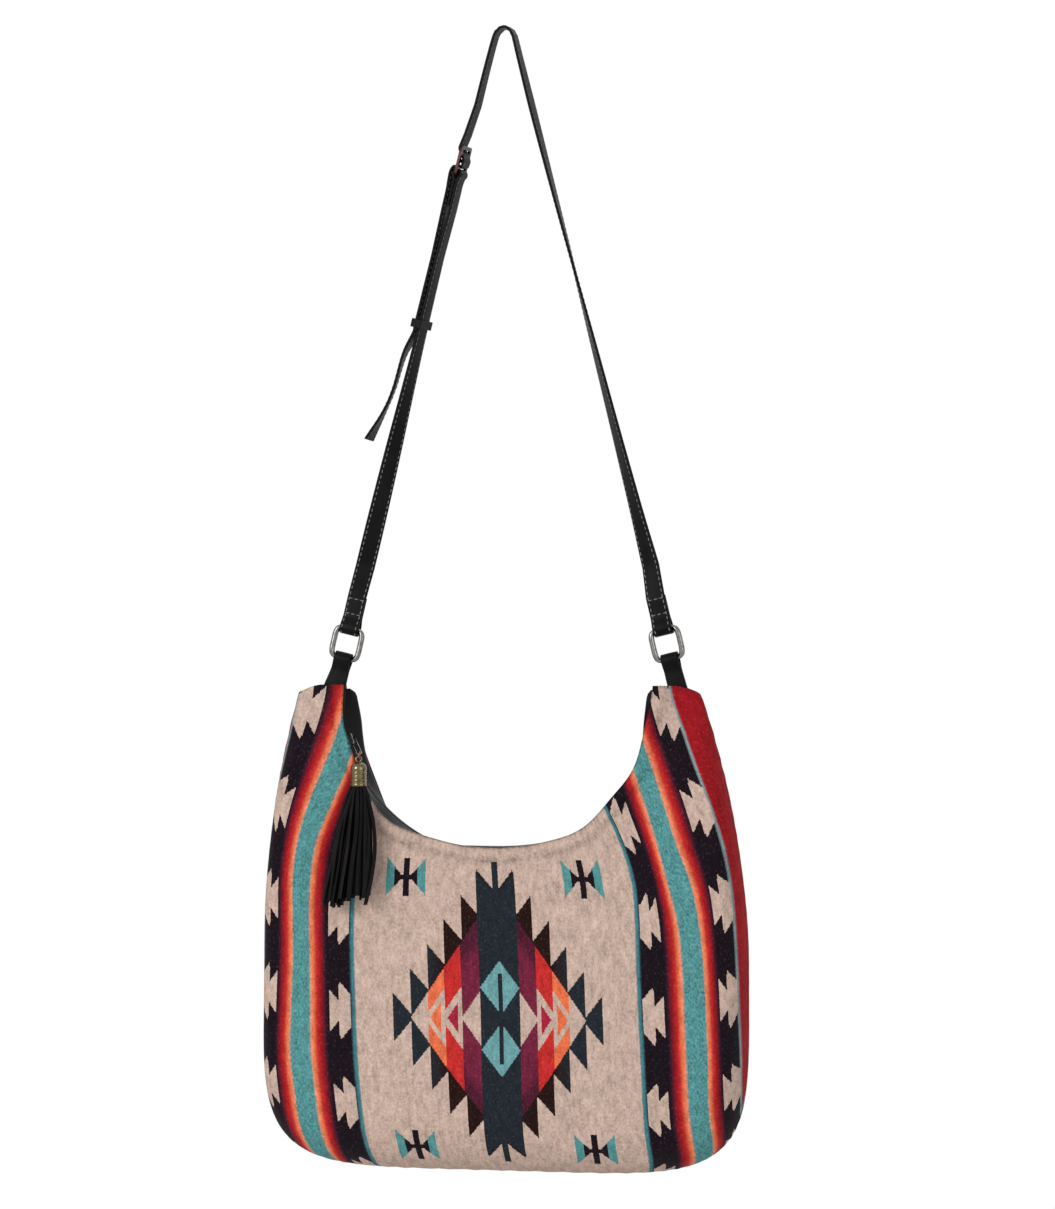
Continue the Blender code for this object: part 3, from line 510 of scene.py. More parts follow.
    def make(self) -> Material:
        """Return the finished material."""
        cloth = Surface(self.name, "cloth")
        ragged = (cloth.noise(self.rag) - 0.5) * self.ragged
        parts = add_node(cloth.tree, "SeparateXYZ", links={0: cloth.place})
        across = (Field(cloth.tree, parts.outputs[0]) + ragged).snapped(self.thread_across)
        down = (Field(cloth.tree, parts.outputs[1]) + ragged).snapped(self.thread_down)
        size = abs(across)
        beside = abs(size - self.teal_centre)
        inner = self.lightning(beside, down, *self.inner_motif) * size.under(self.teal_centre)
        outer = self.lightning(beside, down, *self.outer_motif) * size.over(self.teal_centre)
        colour = cloth.ramp(size, self.last_stop, self.stripe_stops())
        colour = cloth.mixed(colour, self.beige, inner | outer)
        colour = self.medallion(cloth, colour, size, abs(down))
        colour = self.bow_tie(cloth, colour, size, abs(down + self.bow_rise))
        cloudy, speck = cloth.noise(self.cloud), cloth.noise(self.speck)
        light = self.light(cloth, size, cloudy, speck)
        grey = add_node(cloth.tree, "CombineColor", links={0: light, 1: light, 2: light}).outputs[0]
        colour = cloth.mixed(colour, grey, 1.0, "MULTIPLY")
        colour = cloth.mixed(colour, self.lint, ((speck - 0.60).held(0.0) * 0.5).held(high=0.04))
        ribs = [cloth.ribs(pitch, 0.6, (0.0, 0.0, turn), more={"Detail": 1.0, "Detail Scale": 2.0})
                for turn, pitch in ((0.0, self.thread_across), (self.twill_turn, self.thread_down * 1.4))]
        normal = cloth.bump(ribs[0] * 0.45 + ribs[1] * 0.55, 0.00022, 0.55)
        normal = cloth.bump(cloth.noise(self.fuzz), 0.00035, 0.5, normal)
        return cloth.finished({"Base Color": colour, "Roughness": 0.95, "Specular IOR Level": 0.06,
                               "Sheen Weight": 0.03, "Sheen Roughness": 0.55, "Normal": normal})


@dataclass(frozen=True)
class PlainCloth:
    """Plain woven lining or zip tape: one dark colour, crossing threads for its bump, light lint."""

    name: str
    colour: str
    worn: str
    pitch: float
    turns: Pair = (0.0, 1.5708)
    lint: Grain = Grain(900.0)

    def make(self) -> Material:
        """Return the finished material."""
        cloth = Surface(self.name)
        one, two = (cloth.ribs(self.pitch, 0.3, (0.0, turn, 0.0)) for turn in self.turns)
        weave = one * 0.5 + two * 0.5
        colour = cloth.mixed(self.colour, self.worn, cloth.noise(self.lint) * 0.45 + weave * 0.35)
        return cloth.finished({"Base Color": colour, "Roughness": 0.88, "Specular IOR Level": 0.2,
                               "Sheen Weight": 0.15, "Normal": cloth.bump(weave, 0.00012, 0.6)})


@dataclass(frozen=True)
class BlackLeather:
    """Grained black leather: pebbles from Voronoi cells, fine creases, and a little worn shine."""

    name: str = "black_grained_leather"
    colour: str = "#070607"
    worn: str = "#171414"
    pebble: float = 0.00075
    roughness: float = 0.42
    crease: Grain = Grain(260.0, 3.0, (1.0, 1.0, 0.45))
    patch: Grain = Grain(45.0)

    def make(self) -> Material:
        """Return the finished material."""
        hide = Surface(self.name)
        cells = add_node(hide.tree, "TexVoronoi", {"feature": "SMOOTH_F1"},
                         {"Vector": hide.place, "Scale": 1.0 / self.pebble, "Smoothness": 0.6})
        pebbles, creases = Field(hide.tree, cells.outputs[0]), hide.noise(self.crease)
        wear = (hide.noise(self.patch) * 0.9 + creases * 0.35 - 0.52).held(0.0) * 1.6
        gloss = creases * 0.22 + pebbles * 0.10 + (self.roughness - 0.13)
        normal = hide.bump(pebbles * -1.0, 0.00010, 0.55)
        return hide.finished({"Base Color": hide.mixed(self.colour, self.worn, wear.held(high=0.55)),
                              "Roughness": gloss, "Specular IOR Level": 0.08,
                              "Normal": hide.bump(creases, 0.00020, 0.30, normal)})


@dataclass(frozen=True)
class Thread:
    """Waxed sewing thread: pale strands with a twist along each stitch."""

    name: str
    colour: str
    shade: str
    twist: float = 0.0005
    soil: Grain = Grain(120.0)

    def make(self) -> Material:
        """Return the finished material."""
        thread = Surface(self.name)
        twist = thread.ribs(self.twist, 0.4, bands="DIAGONAL")
        colour = thread.mixed(self.colour, self.shade, thread.noise(self.soil) * 0.5 + twist * 0.35)
        return thread.finished({"Base Color": colour, "Roughness": 0.7,
                                "Normal": thread.bump(twist, 0.0001, 0.5)})


@dataclass(frozen=True)
class PlatedMetal:
    """Polished plate over a casting: clear reflections, faint pits and dull hollows."""

    name: str
    colour: str
    tarnish: str
    roughness: float
    cloud: Grain = Grain(240.0, 3.0)
    scratch: Grain = Grain(900.0, 2.0, (1.0, 1.0, 0.12))

    def make(self) -> Material:
        """Return the finished material."""
        metal = Surface(self.name)
        cloudy, scratch = metal.noise(self.cloud), metal.noise(self.scratch)
        colour = metal.mixed(self.colour, self.tarnish, (cloudy - 0.48).held(0.0) * 2.4)
        gloss = cloudy * 0.16 + scratch * 0.10 + (self.roughness - 0.13)
        return metal.finished({"Base Color": colour, "Metallic": 1.0, "Roughness": gloss,
                               "Normal": metal.bump(scratch, 0.00001, 0.20)})


@dataclass(frozen=True)
class NylonCoil:
    """Extruded dark nylon: satin, with faint mould clouding."""

    name: str = "dark_nylon_coil"
    colour: str = "#26262A"
    clouded: str = "#4A4A50"
    cloud: Grain = Grain(600.0)

    def make(self) -> Material:
        """Return the finished material."""
        nylon = Surface(self.name)
        cloudy = nylon.noise(self.cloud)
        return nylon.finished({"Base Color": nylon.mixed(self.colour, self.clouded, cloudy * 0.5),
                               "Roughness": cloudy * 0.2 + 0.25,
                               "Normal": nylon.bump(cloudy, 0.00004, 0.3)})


@dataclass(frozen=True)
class Wear:
    """What a piece wears: its material, the body that it rides on and the record's slot."""

    finish: Material
    body: str
    slot: str


class Finishes:
    """The materials of the bag by name, each made once; most names are the record's slots too."""

    def __init__(self) -> None:
        """Make every material."""
        kinds = {"cloth": BlanketCloth(),
                 "lining": PlainCloth("black_lining_cloth", "#151316", "#2C292E", 0.0006),
                 "zip_tape": PlainCloth("black_zip_tape", "#0E0D0F", "#232124", 0.0011, (0.8, -0.8)),
                 "leather": BlackLeather(),
                 "thread": Thread("grey_waxed_thread", "#7F7C7A", "#4E4A48"),
                 "nickel": PlatedMetal("polished_nickel", "#7C7A78", "#2E2C2B", 0.20),
                 "copper": PlatedMetal("coppery_wire", "#8A4E3D", "#4A281F", 0.30),
                 "brass": PlatedMetal("pale_brass", "#6E6348", "#221C12", 0.18),
                 "bronze": PlatedMetal("dark_bronze", "#2C1A18", "#120A09", 0.24),
                 "zip_coil": NylonCoil()}
        self.made = {name: kind.make() for name, kind in kinds.items()}

    def on(self, body: str, slot: str, name: str = "") -> Wear:
        """Return what a piece on a body wears, from the slot's own material or a named one."""
        return Wear(self.made[name or slot], body, slot)


# Shared ways to make pieces


def place_mesh(name: str, shape: Shape, wear: Wear) -> Piece:
    """Turn a bmesh into a piece that rides on a body.

    Args:
        name: the piece's name.
        shape: the finished bmesh, which is freed.
        wear: its material, body and slot.

    Returns:
        The new object, at the origin.
    """
    mesh = bpy.data.meshes.new(name)
    shape.to_mesh(mesh)
    shape.free()
    mesh.shade_smooth()
    mesh.set_sharp_from_angle(angle=math.radians(50))
    made = bpy.data.objects.new(name, mesh)
    made.data.materials.append(wear.finish)
    bpy.context.scene.collection.objects.link(made)
    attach(made, wear.body)
    return made


def thicken(piece: Piece, thickness: float, offset: float) -> None:
    """Give an open surface its thickness."""
    wall = piece.modifiers.new("thickness", "SOLIDIFY")
    wall.thickness = thickness
    wall.offset = offset
    wall.use_even_offset = True


def soften(piece: Piece, width: float, segments: int = 3) -> None:
    """Round the sharp edges of a piece."""
    bevel = piece.modifiers.new("rounded_edges", "BEVEL")
    bevel.width = width
    bevel.segments = segments
    bevel.limit_method = "ANGLE"
    bevel.angle_limit = math.radians(40)


def spline_points(points: Sequence[Vector], step: float) -> list[Vector]:
    """Return points about a step apart on a smooth curve through the given points.

    Args:
        points: three- or four-part vectors; the fourth part is carried along.
        step: the spacing wanted, in metres.

    Returns:
        The points, the last one included.
    """
    ends = [2 * points[0] - points[1]] + list(points) + [2 * points[-1] - points[-2]]
    route = []
    for a, b, c, d in zip(ends, ends[1:], ends[2:], ends[3:]):
        count = max(1, round((c - b).length / step))
        for i in range(count):
            t = i / count
            route.append(0.5 * ((2 * b) + (c - a) * t + (2 * a - 5 * b + 4 * c - d) * t * t
                                + (3 * b - a - 3 * c + d) * t ** 3))
    return route + [points[-1]]


def tangents(points: Sequence[Vector], closed: bool = False) -> list[Vector]:
    """Return the direction of a path at each of its points."""
    count = len(points)
    if closed:
        return [(points[(i + 1) % count] - points[i - 1]).normalized() for i in range(count)]
    return [(points[min(count - 1, i + 1)] - points[max(0, i - 1)]).normalized() for i in range(count)]


def circle(middle: Vector, one: Vector, two: Vector, count: int, first: float = 0.0,
           sweep: float = 360.0) -> list[Vector]:
    """Return points on a circle or an arc.

    Args:
        middle: the circle's middle.
        one: the radius at an angle of 0.
        two: the radius at an angle of 90 degrees.
        count: the number of steps.
        first: the angle that it starts at, in degrees.
        sweep: the angle that it covers; less than 360 gives the arc's last point too.

    Returns:
        The points.
    """
    angles = [math.radians(first + sweep * i / count) for i in range(count + (sweep < 360.0))]
    return [middle + one * math.cos(angle) + two * math.sin(angle) for angle in angles]


def add_sweep(shape: Shape, rings: Sequence[Sequence[Vector]], closed: bool = False) -> None:
    """Add a solid to a bmesh: a grid is wrapped round so that its rows lie on the rings.

    Args:
        shape: the bmesh.
        rings: the solid's sections, each a loop of as many points.
        closed: whether the last ring joins the first; if not, both ends are filled.
    """
    around, steps = len(rings[0]), len(rings) - (not closed)
    grid = bmesh.ops.create_grid(shape, x_segments=around, y_segments=steps, size=0.5)["verts"]
    for vertex in grid:
        ring = rings[round((vertex.co.y + 0.5) * steps) % len(rings)]
        vertex.co = ring[round((vertex.co.x + 0.5) * around) % around]
    bmesh.ops.remove_doubles(shape, verts=grid, dist=WELD)
    if not closed:
        bmesh.ops.holes_fill(shape, edges=shape.edges, sides=around)


def swept(name: str, rings: Sequence[Sequence[Vector]], wear: Wear, closed: bool = False) -> Piece:
    """Make a piece of one swept solid from its rings of points."""
    shape = bmesh.new()
    add_sweep(shape, rings, closed)
    bmesh.ops.recalc_face_normals(shape, faces=shape.faces)
    return place_mesh(name, shape, wear)


def round_wire(name: str, points: Sequence[Vector], radii: Sequence[float], normal: Vector, wear: Wear,
               sides: int = 12) -> Piece:
    """Make a closed loop of round wire.

    Args:
        name: the piece's name.
        points: the wire's middle line, which lies in a plane.
        radii: the wire's radius at each point.
        normal: the plane's normal.
        wear: its material, body and slot.
        sides: the number of sides of its section.

    Returns:
        The wire.
    """
    rings = []
    for point, way, radius in zip(points, tangents(points, True), radii):
        out = way.cross(normal).normalized()
        rings.append(circle(point, out * radius, normal * radius, sides))
    return swept(name, rings, wear, True)


def stitches(name: str, places: Sequence[tuple[Vector, Vector, Vector]], length: float, width: float,
             wear: Wear) -> Piece:
    """Make a row of sewn stitches, each a small rounded grain lying on the surface.

    Args:
        name: the piece's name.
        places: for each stitch its middle, its direction and the surface's normal.
        length: a stitch's length.
        width: a stitch's width.
        wear: their material, body and slot.

    Returns:
        One object that holds all the stitches.
    """
    ball, shape = bmesh.new(), bmesh.new()
    bmesh.ops.create_uvsphere(ball, u_segments=6, v_segments=5, radius=0.5)
    for middle, along, normal in places:
        side = normal.cross(along).normalized()
        frame = Matrix((side * width, normal * width * 0.8, along.normalized() * length))
        frame = frame.transposed().to_4x4()
        frame.translation = middle
        grain = bpy.data.meshes.new("grain")
        ball.to_mesh(grain)
        grain.transform(frame)
        shape.from_mesh(grain)
        bpy.data.meshes.remove(grain)
    ball.free()
    bmesh.ops.recalc_face_normals(shape, faces=shape.faces)
    return place_mesh(name, shape, wear)


# Shape of the body


@dataclass(frozen=True)
class BagForm:
    """The bag's outline, scoop and depth, in metres, shared by its cloth, lining and zip.

    Swells and sags are (angle in degrees, width in degrees, height) bells on the scoop's circle.
    """

    top_seam_z: float = -0.529
    drop: float = 0.384
    half_width: float = 0.1977
    half_width_top: float = 0.1655
    widest_drop: float = 0.215
    side_power: float = 1.9
    corner_power: float = 5.6
    horn_lean: float = 0.0055
    lean_power: float = 1.3
    shift: float = -0.0007
    panel_thick: float = 0.0016
    lining_thick: float = 0.0008
    seam_gap: float = 0.0004
    belly_half: float = 0.044
    belly_power: float = 1.3
    horn_half: float = 0.0215
    seam_half: float = 0.0046
    seam_rise: float = 0.030
    belly_turn: float = 0.040
    horn_turn: float = 0.015
    seam_flange: float = 0.0020
    corner_sag: float = 0.0065
    corner_reach: float = 0.030
    top_rise: float = 0.0038
    rise_reach: float = 0.026
    scoop_x: float = -0.006
    scoop_radius: float = 0.1275
    back_sag: Triple = (61.0, 15.0, 0.0085)
    swells: tuple[Triple, ...] = (
        (18.0, 10.0, -0.0015), (49.0, 13.0, 0.0080), (90.0, 20.0, -0.0020), (124.0, 12.0, 0.0040),
        (151.0, 10.0, 0.0030))
    rim_half: float = 0.0200
    side_steps: int = 90
    bend_weight: float = 0.055
    turn_rows: int = 12
    flat_rows: int = 30

    @property
    def rows(self) -> int:
        """Return the number of rows of faces from the side seam to the rim."""
        return 1 + self.turn_rows + self.flat_rows

    def lean(self, drop: float) -> float:
        """Return the sideways lean of the horns at a distance below the top seam."""
        return self.shift - self.horn_lean * max(0.0, 1.0 - drop / self.widest_drop) ** self.lean_power

    def outline(self, count: int) -> list[Vector]:
        """Return the outer seam's points, from the left horn round the bottom to the right horn."""
        path = []
        for i in range(self.side_steps):
            drop = self.widest_drop * i / self.side_steps
            narrow = (self.half_width - self.half_width_top) \
                * ((self.widest_drop - drop) / self.widest_drop) ** self.side_power
            path.append((self.half_width - narrow, drop))
        for i in range(2 * self.side_steps + 1):
            angle = math.radians(90.0) * i / (2 * self.side_steps)
            across = self.half_width * max(math.cos(angle), 0.0) ** (2 / self.corner_power)
            below = (self.drop - self.widest_drop) * math.sin(angle) ** (2 / self.corner_power)
            path.append((across, self.widest_drop + below))
        path[-1] = (0.0, self.drop)
        left, right = (self.spread([Vector((side * a + self.lean(d), 0.0, self.top_seam_z - d))
                                    for a, d in path], count // 2) for side in (-1.0, 1.0))
        return left + right[-2::-1]

    def spread(self, path: Sequence[Vector], count: int) -> list[Vector]:
        """Pick count + 1 points along a path, closer together where it bends."""
        marks = [0.0]
        for i in range(1, len(path)):
            run = path[i] - path[i - 1]
            bend = run.angle(path[i - 1] - path[i - 2], 0.0) if i > 1 and run.length > 1e-9 else 0.0
            marks.append(marks[-1] + run.length + self.bend_weight * bend)
        picked, now = [], 0
        for k in range(count + 1):
            wanted = marks[-1] * k / count
            while now < len(marks) - 2 and marks[now + 1] < wanted:
                now += 1
            span = marks[now + 1] - marks[now]
            share = (wanted - marks[now]) / span if span else 0.0
            picked.append(path[now].lerp(path[now + 1], min(max(share, 0.0), 1.0)))
        return picked

    def rim_radius(self, angle: float, side: Side) -> float:
        """Return the rim's distance from the scoop's middle at an angle in degrees."""
        swells = self.swells + ((self.back_sag,) if side is Side.BACK else ())
        return self.scoop_radius + sum(size * bell(angle, at, width) for at, width, size in swells)

    def scoop_point(self, angle: float, radius: float, y: float = 0.0) -> Vector:
        """Return a point on the scoop, its angle in degrees down from the left horn's top."""
        turn = math.radians(angle)
        return Vector((self.scoop_x - radius * math.cos(turn), y, self.top_seam_z - radius * math.sin(turn)))

    def rise(self, z: float) -> float:
        """Return how much higher the horns' tops stand, at a height on the seam's outline."""
        return self.top_rise * max(0.0, 1.0 - (self.top_seam_z - z) / self.rise_reach) ** 2

    def opened(self, fraction: float) -> float:
        """Return how far a horn has opened from its flat top seam: 0 at the seam, 1 below it."""
        from_end = min(fraction, 1.0 - fraction) * math.pi * self.scoop_radius
        return smooth_step(from_end / self.seam_rise) ** 0.75

    def rim_half_gap(self, fraction: float) -> float:
        """Return the rim's distance in front of the middle plane."""
        return self.seam_half + (self.rim_half - self.seam_half) * self.opened(fraction)

    def column(self, outer: Vector, rim: Vector, fraction: float) -> list[tuple[Vector, Vector]]:
        """Return one column of the front panel from its side seam to its rim.

        Args:
            outer: the seam's point.
            rim: the rim's point.
            fraction: how far round the panel the column lies.

        Returns:
            (point, flat point) pairs, the flat point being where it lies on the unrolled cloth.
        """
        swell = math.sin(math.pi * fraction) ** self.belly_power
        deep = self.seam_half + (self.horn_half + (self.belly_half - self.horn_half) * swell
                                 - self.seam_half) * self.opened(fraction)
        turn = self.horn_turn + (self.belly_turn - self.horn_turn) * swell
        span = (rim - outer).length
        flange = min(self.seam_flange, 0.4 * deep)
        spots = [(0.0, self.seam_gap / 2)]
        for row in range(self.turn_rows + 1):
            angle = math.radians(90.0) * row / self.turn_rows
            spots.append((turn * (1.0 - math.cos(angle)), flange + (deep - flange) * math.sin(angle)))
        for row in range(1, self.flat_rows + 1):
            part = row / self.flat_rows
            spots.append((turn + (span - turn) * part,
                          deep + (self.rim_half_gap(fraction) - deep) * smooth_step(part)))
        lengths = [0.0]
        for one, two in zip(spots[::-1], spots[-2::-1]):
            lengths.append(lengths[-1] + math.dist(one, two))
        outward = (outer - rim).normalized()
        sag = self.corner_sag * max(0.0, 1.0 - (self.top_seam_z - outer.z) / self.corner_reach) ** 2
        pairs = []
        for (along, depth), length in zip(spots, lengths[::-1]):
            spot = outer.lerp(rim, along / span)
            low = sag * max(0.0, 1.0 - 2.0 * along / span) ** 1.5
            point = Vector((spot.x, -depth, spot.z - low + self.rise(spot.z)))
            pairs.append((point, rim + outward * length))
        return pairs


@dataclass(frozen=True)
class ClothMap:
    """Where the woven pattern lies on the cut cloth, in millimetres.

    The cloth is gathered into the horns, so its stripes lean there. Each row gives a height and
    where nine of the weave's lines cross it, from the left stripe's outer line to the right one's.
    Columns are the lightning figures' distances from the middle, which lean with the weft.
    """

    middle_z: float = -790.3
    stretch: float = 1.02
    columns: Pair = (129.0, 191.5)
    column_half: float = 12.0
    between: float = 161.0
    lean_lines: tuple[int, int] = (6, 2)
    lean_step: float = 5.0
    lean_floor: float = -700.0
    low_stretch: float = 0.09
    low_start: float = 45.0
    lines: tuple[float, ...] = (-201.0, -168.9, -153.1, -119.2, 0.0, 119.2, 153.1, 168.9, 201.0)
    rows: tuple[tuple[float, tuple[float, ...]], ...] = (
        (-530.0, (-172.0, -127.0, -110.0, -82.0, -15.0, 62.0, 92.0, 105.0, 135.3)),
        (-560.0, (-177.0, -133.0, -117.0, -91.0, -13.0, 69.0, 100.0, 113.6, 148.4)),
        (-590.0, (-183.0, -144.4, -126.0, -99.0, -10.5, 77.0, 109.5, 123.8, 160.9)),
        (-620.0, (-189.0, -156.6, -139.0, -109.0, -8.0, 87.5, 119.6, 134.0, 173.1)),
        (-650.0, (-193.5, -165.1, -150.8, -117.0, -5.6, 101.5, 129.6, 144.5, 183.0)),
        (-680.0, (-195.5, -168.7, -155.3, -121.0, -3.3, 111.8, 138.7, 157.0, 189.3)),
        (-710.0, (-196.0, -168.2, -156.2, -122.2, -0.8, 115.3, 147.5, 164.2, 192.5)),
        (-740.0, (-196.0, -167.5, -155.0, -121.5, 1.8, 117.0, 151.8, 168.1, 194.6)),
        (-780.0, (-197.0, -168.2, -153.6, -119.0, 5.1, 119.8, 154.4, 171.0, 196.5)),
        (-820.0, (-197.5, -168.3, -151.8, -116.0, 7.3, 123.1, 156.9, 173.0, 199.0)),
        (-860.0, (-194.0, -162.3, -146.3, -111.3, 9.0, 125.9, 159.6, 174.2, 200.5)),
        (-900.0, (-190.0, -157.0, -140.5, -106.1, 10.4, 129.1, 163.6, 177.5, 203.0)))

    def crossings(self, z: float) -> list[float]:
        """Return where the lines cross a height, on smooth curves through the rows."""
        heights = [row[0] for row in self.rows]
        last = len(heights) - 1
        above = max(0, min(last - 1, sum(height > z for height in heights) - 1))
        t = (heights[above] - z) / (heights[above] - heights[above + 1])
        t = min(max(t, -0.5), 1.5)
        four = [self.rows[min(max(above + k, 0), last)][1] for k in (-1, 0, 1, 2)]
        weights = (0.5 * (2 * t * t - t - t ** 3), 0.5 * (2 - 5 * t * t + 3 * t ** 3),
                   0.5 * (t + 4 * t * t - 3 * t ** 3), 0.5 * (t ** 3 - t * t))
        return [sum(w * row[k] for w, row in zip(weights, four)) for k in range(len(self.lines))]

    def weft_lean(self, across: float, z: float) -> float:
        """Return how far down the weft leans at a place, beside the nearer column's middle."""
        if z <= self.lean_floor:
            return 0.0
        half, size = self.column_half, abs(across)
        off = size - self.columns[size > self.between]
        slack = max(0.0, abs(off) - half) / (self.columns[1] - self.between - half)
        line = self.lean_lines[across < 0.0]
        above, below = (self.crossings(z + step)[line] for step in (self.lean_step, -self.lean_step))
        lean = abs(below - above) / (2.0 * self.lean_step)
        return lean * max(0.0, 1.0 - slack) * min(max(off, -half), half)

    def at(self, flat: Vector) -> Pair:
        """Return the pattern's place at a point of the unrolled cloth.

        Args:
            flat: the point, its x and z in metres.

        Returns:
            Millimetres across and down from the medallion's middle.
        """
        x, z = flat.x * 1000.0, flat.z * 1000.0
        places = self.crossings(z)
        k = max(0, min(len(places) - 2, sum(place < x for place in places) - 1))
        share = (x - places[k]) / (places[k + 1] - places[k])
        if k == 0 and share < 0.0:
            across = self.lines[0] + (x - places[0])
        elif k == len(places) - 2 and share > 1.0:
            across = self.lines[-1] + (x - places[-1])
        else:
            across = self.lines[k] + (self.lines[k + 1] - self.lines[k]) * share
        down = self.middle_z - z + self.weft_lean(across, z)
        return across, down * self.stretch + self.low_stretch * max(0.0, down - self.low_start)


@dataclass(frozen=True)
class Wrinkles:
    """The cloth's wrinkles: waves per metre across and down, a shift of the noise, and a height.

    The hem's line of stitches and its roll are a distance from the rim, a width and a height.
    """

    broad: Four = (9.0, 7.0, 0.0, 0.0021)
    folds: Four = (34.0, 11.0, 4.0, 0.0007)
    fine: Four = (80.0, 80.0, 9.0, 0.00022)
    fold_bend: float = 1.5
    quiet_seam: float = 0.05
    quiet_rim: float = 0.03
    rim_share: float = 0.25
    gather: Triple = (520.0, 470.0, 0.00035)
    gather_bend: float = 3.0
    gather_reach: float = 0.006
    hem: Triple = (0.0095, 0.0013, -0.00055)
    roll: Triple = (0.0045, 0.0035, 0.00035)

    def height(self, flat: Vector, from_rim: float, from_seam: float, seed: float) -> float:
        """Return how far the cloth stands out from its smooth form.

        Args:
            flat: the point on the unrolled cloth.
            from_rim: distance from the rim.
            from_seam: distance from the side seam.
            seed: moves the pattern of wrinkles.

        Returns:
            The height in metres.
        """

        def wave(kind: Four, bend: float = 0.0) -> float:
            """Return one kind of wrinkle before its height is applied."""
            return noise.noise(Vector((flat.x * kind[0] + bend, seed + kind[2], flat.z * kind[1])))

        broad = wave(self.broad)
        total = self.broad[3] * broad + self.folds[3] * wave(self.folds, self.fold_bend * broad) \
            + self.fine[3] * wave(self.fine)
        total *= smooth_step(from_seam / self.quiet_seam) \
            * smooth_step(from_rim / self.quiet_rim + self.rim_share)
        across, down, size = self.gather
        gather = math.sin(flat.x * across + flat.z * down + self.gather_bend * broad)
        total += size * gather * bell(from_seam, self.gather_reach, self.gather_reach)
        return total + sum(size * bell(from_rim, at, width) for at, width, size in (self.hem, self.roll))


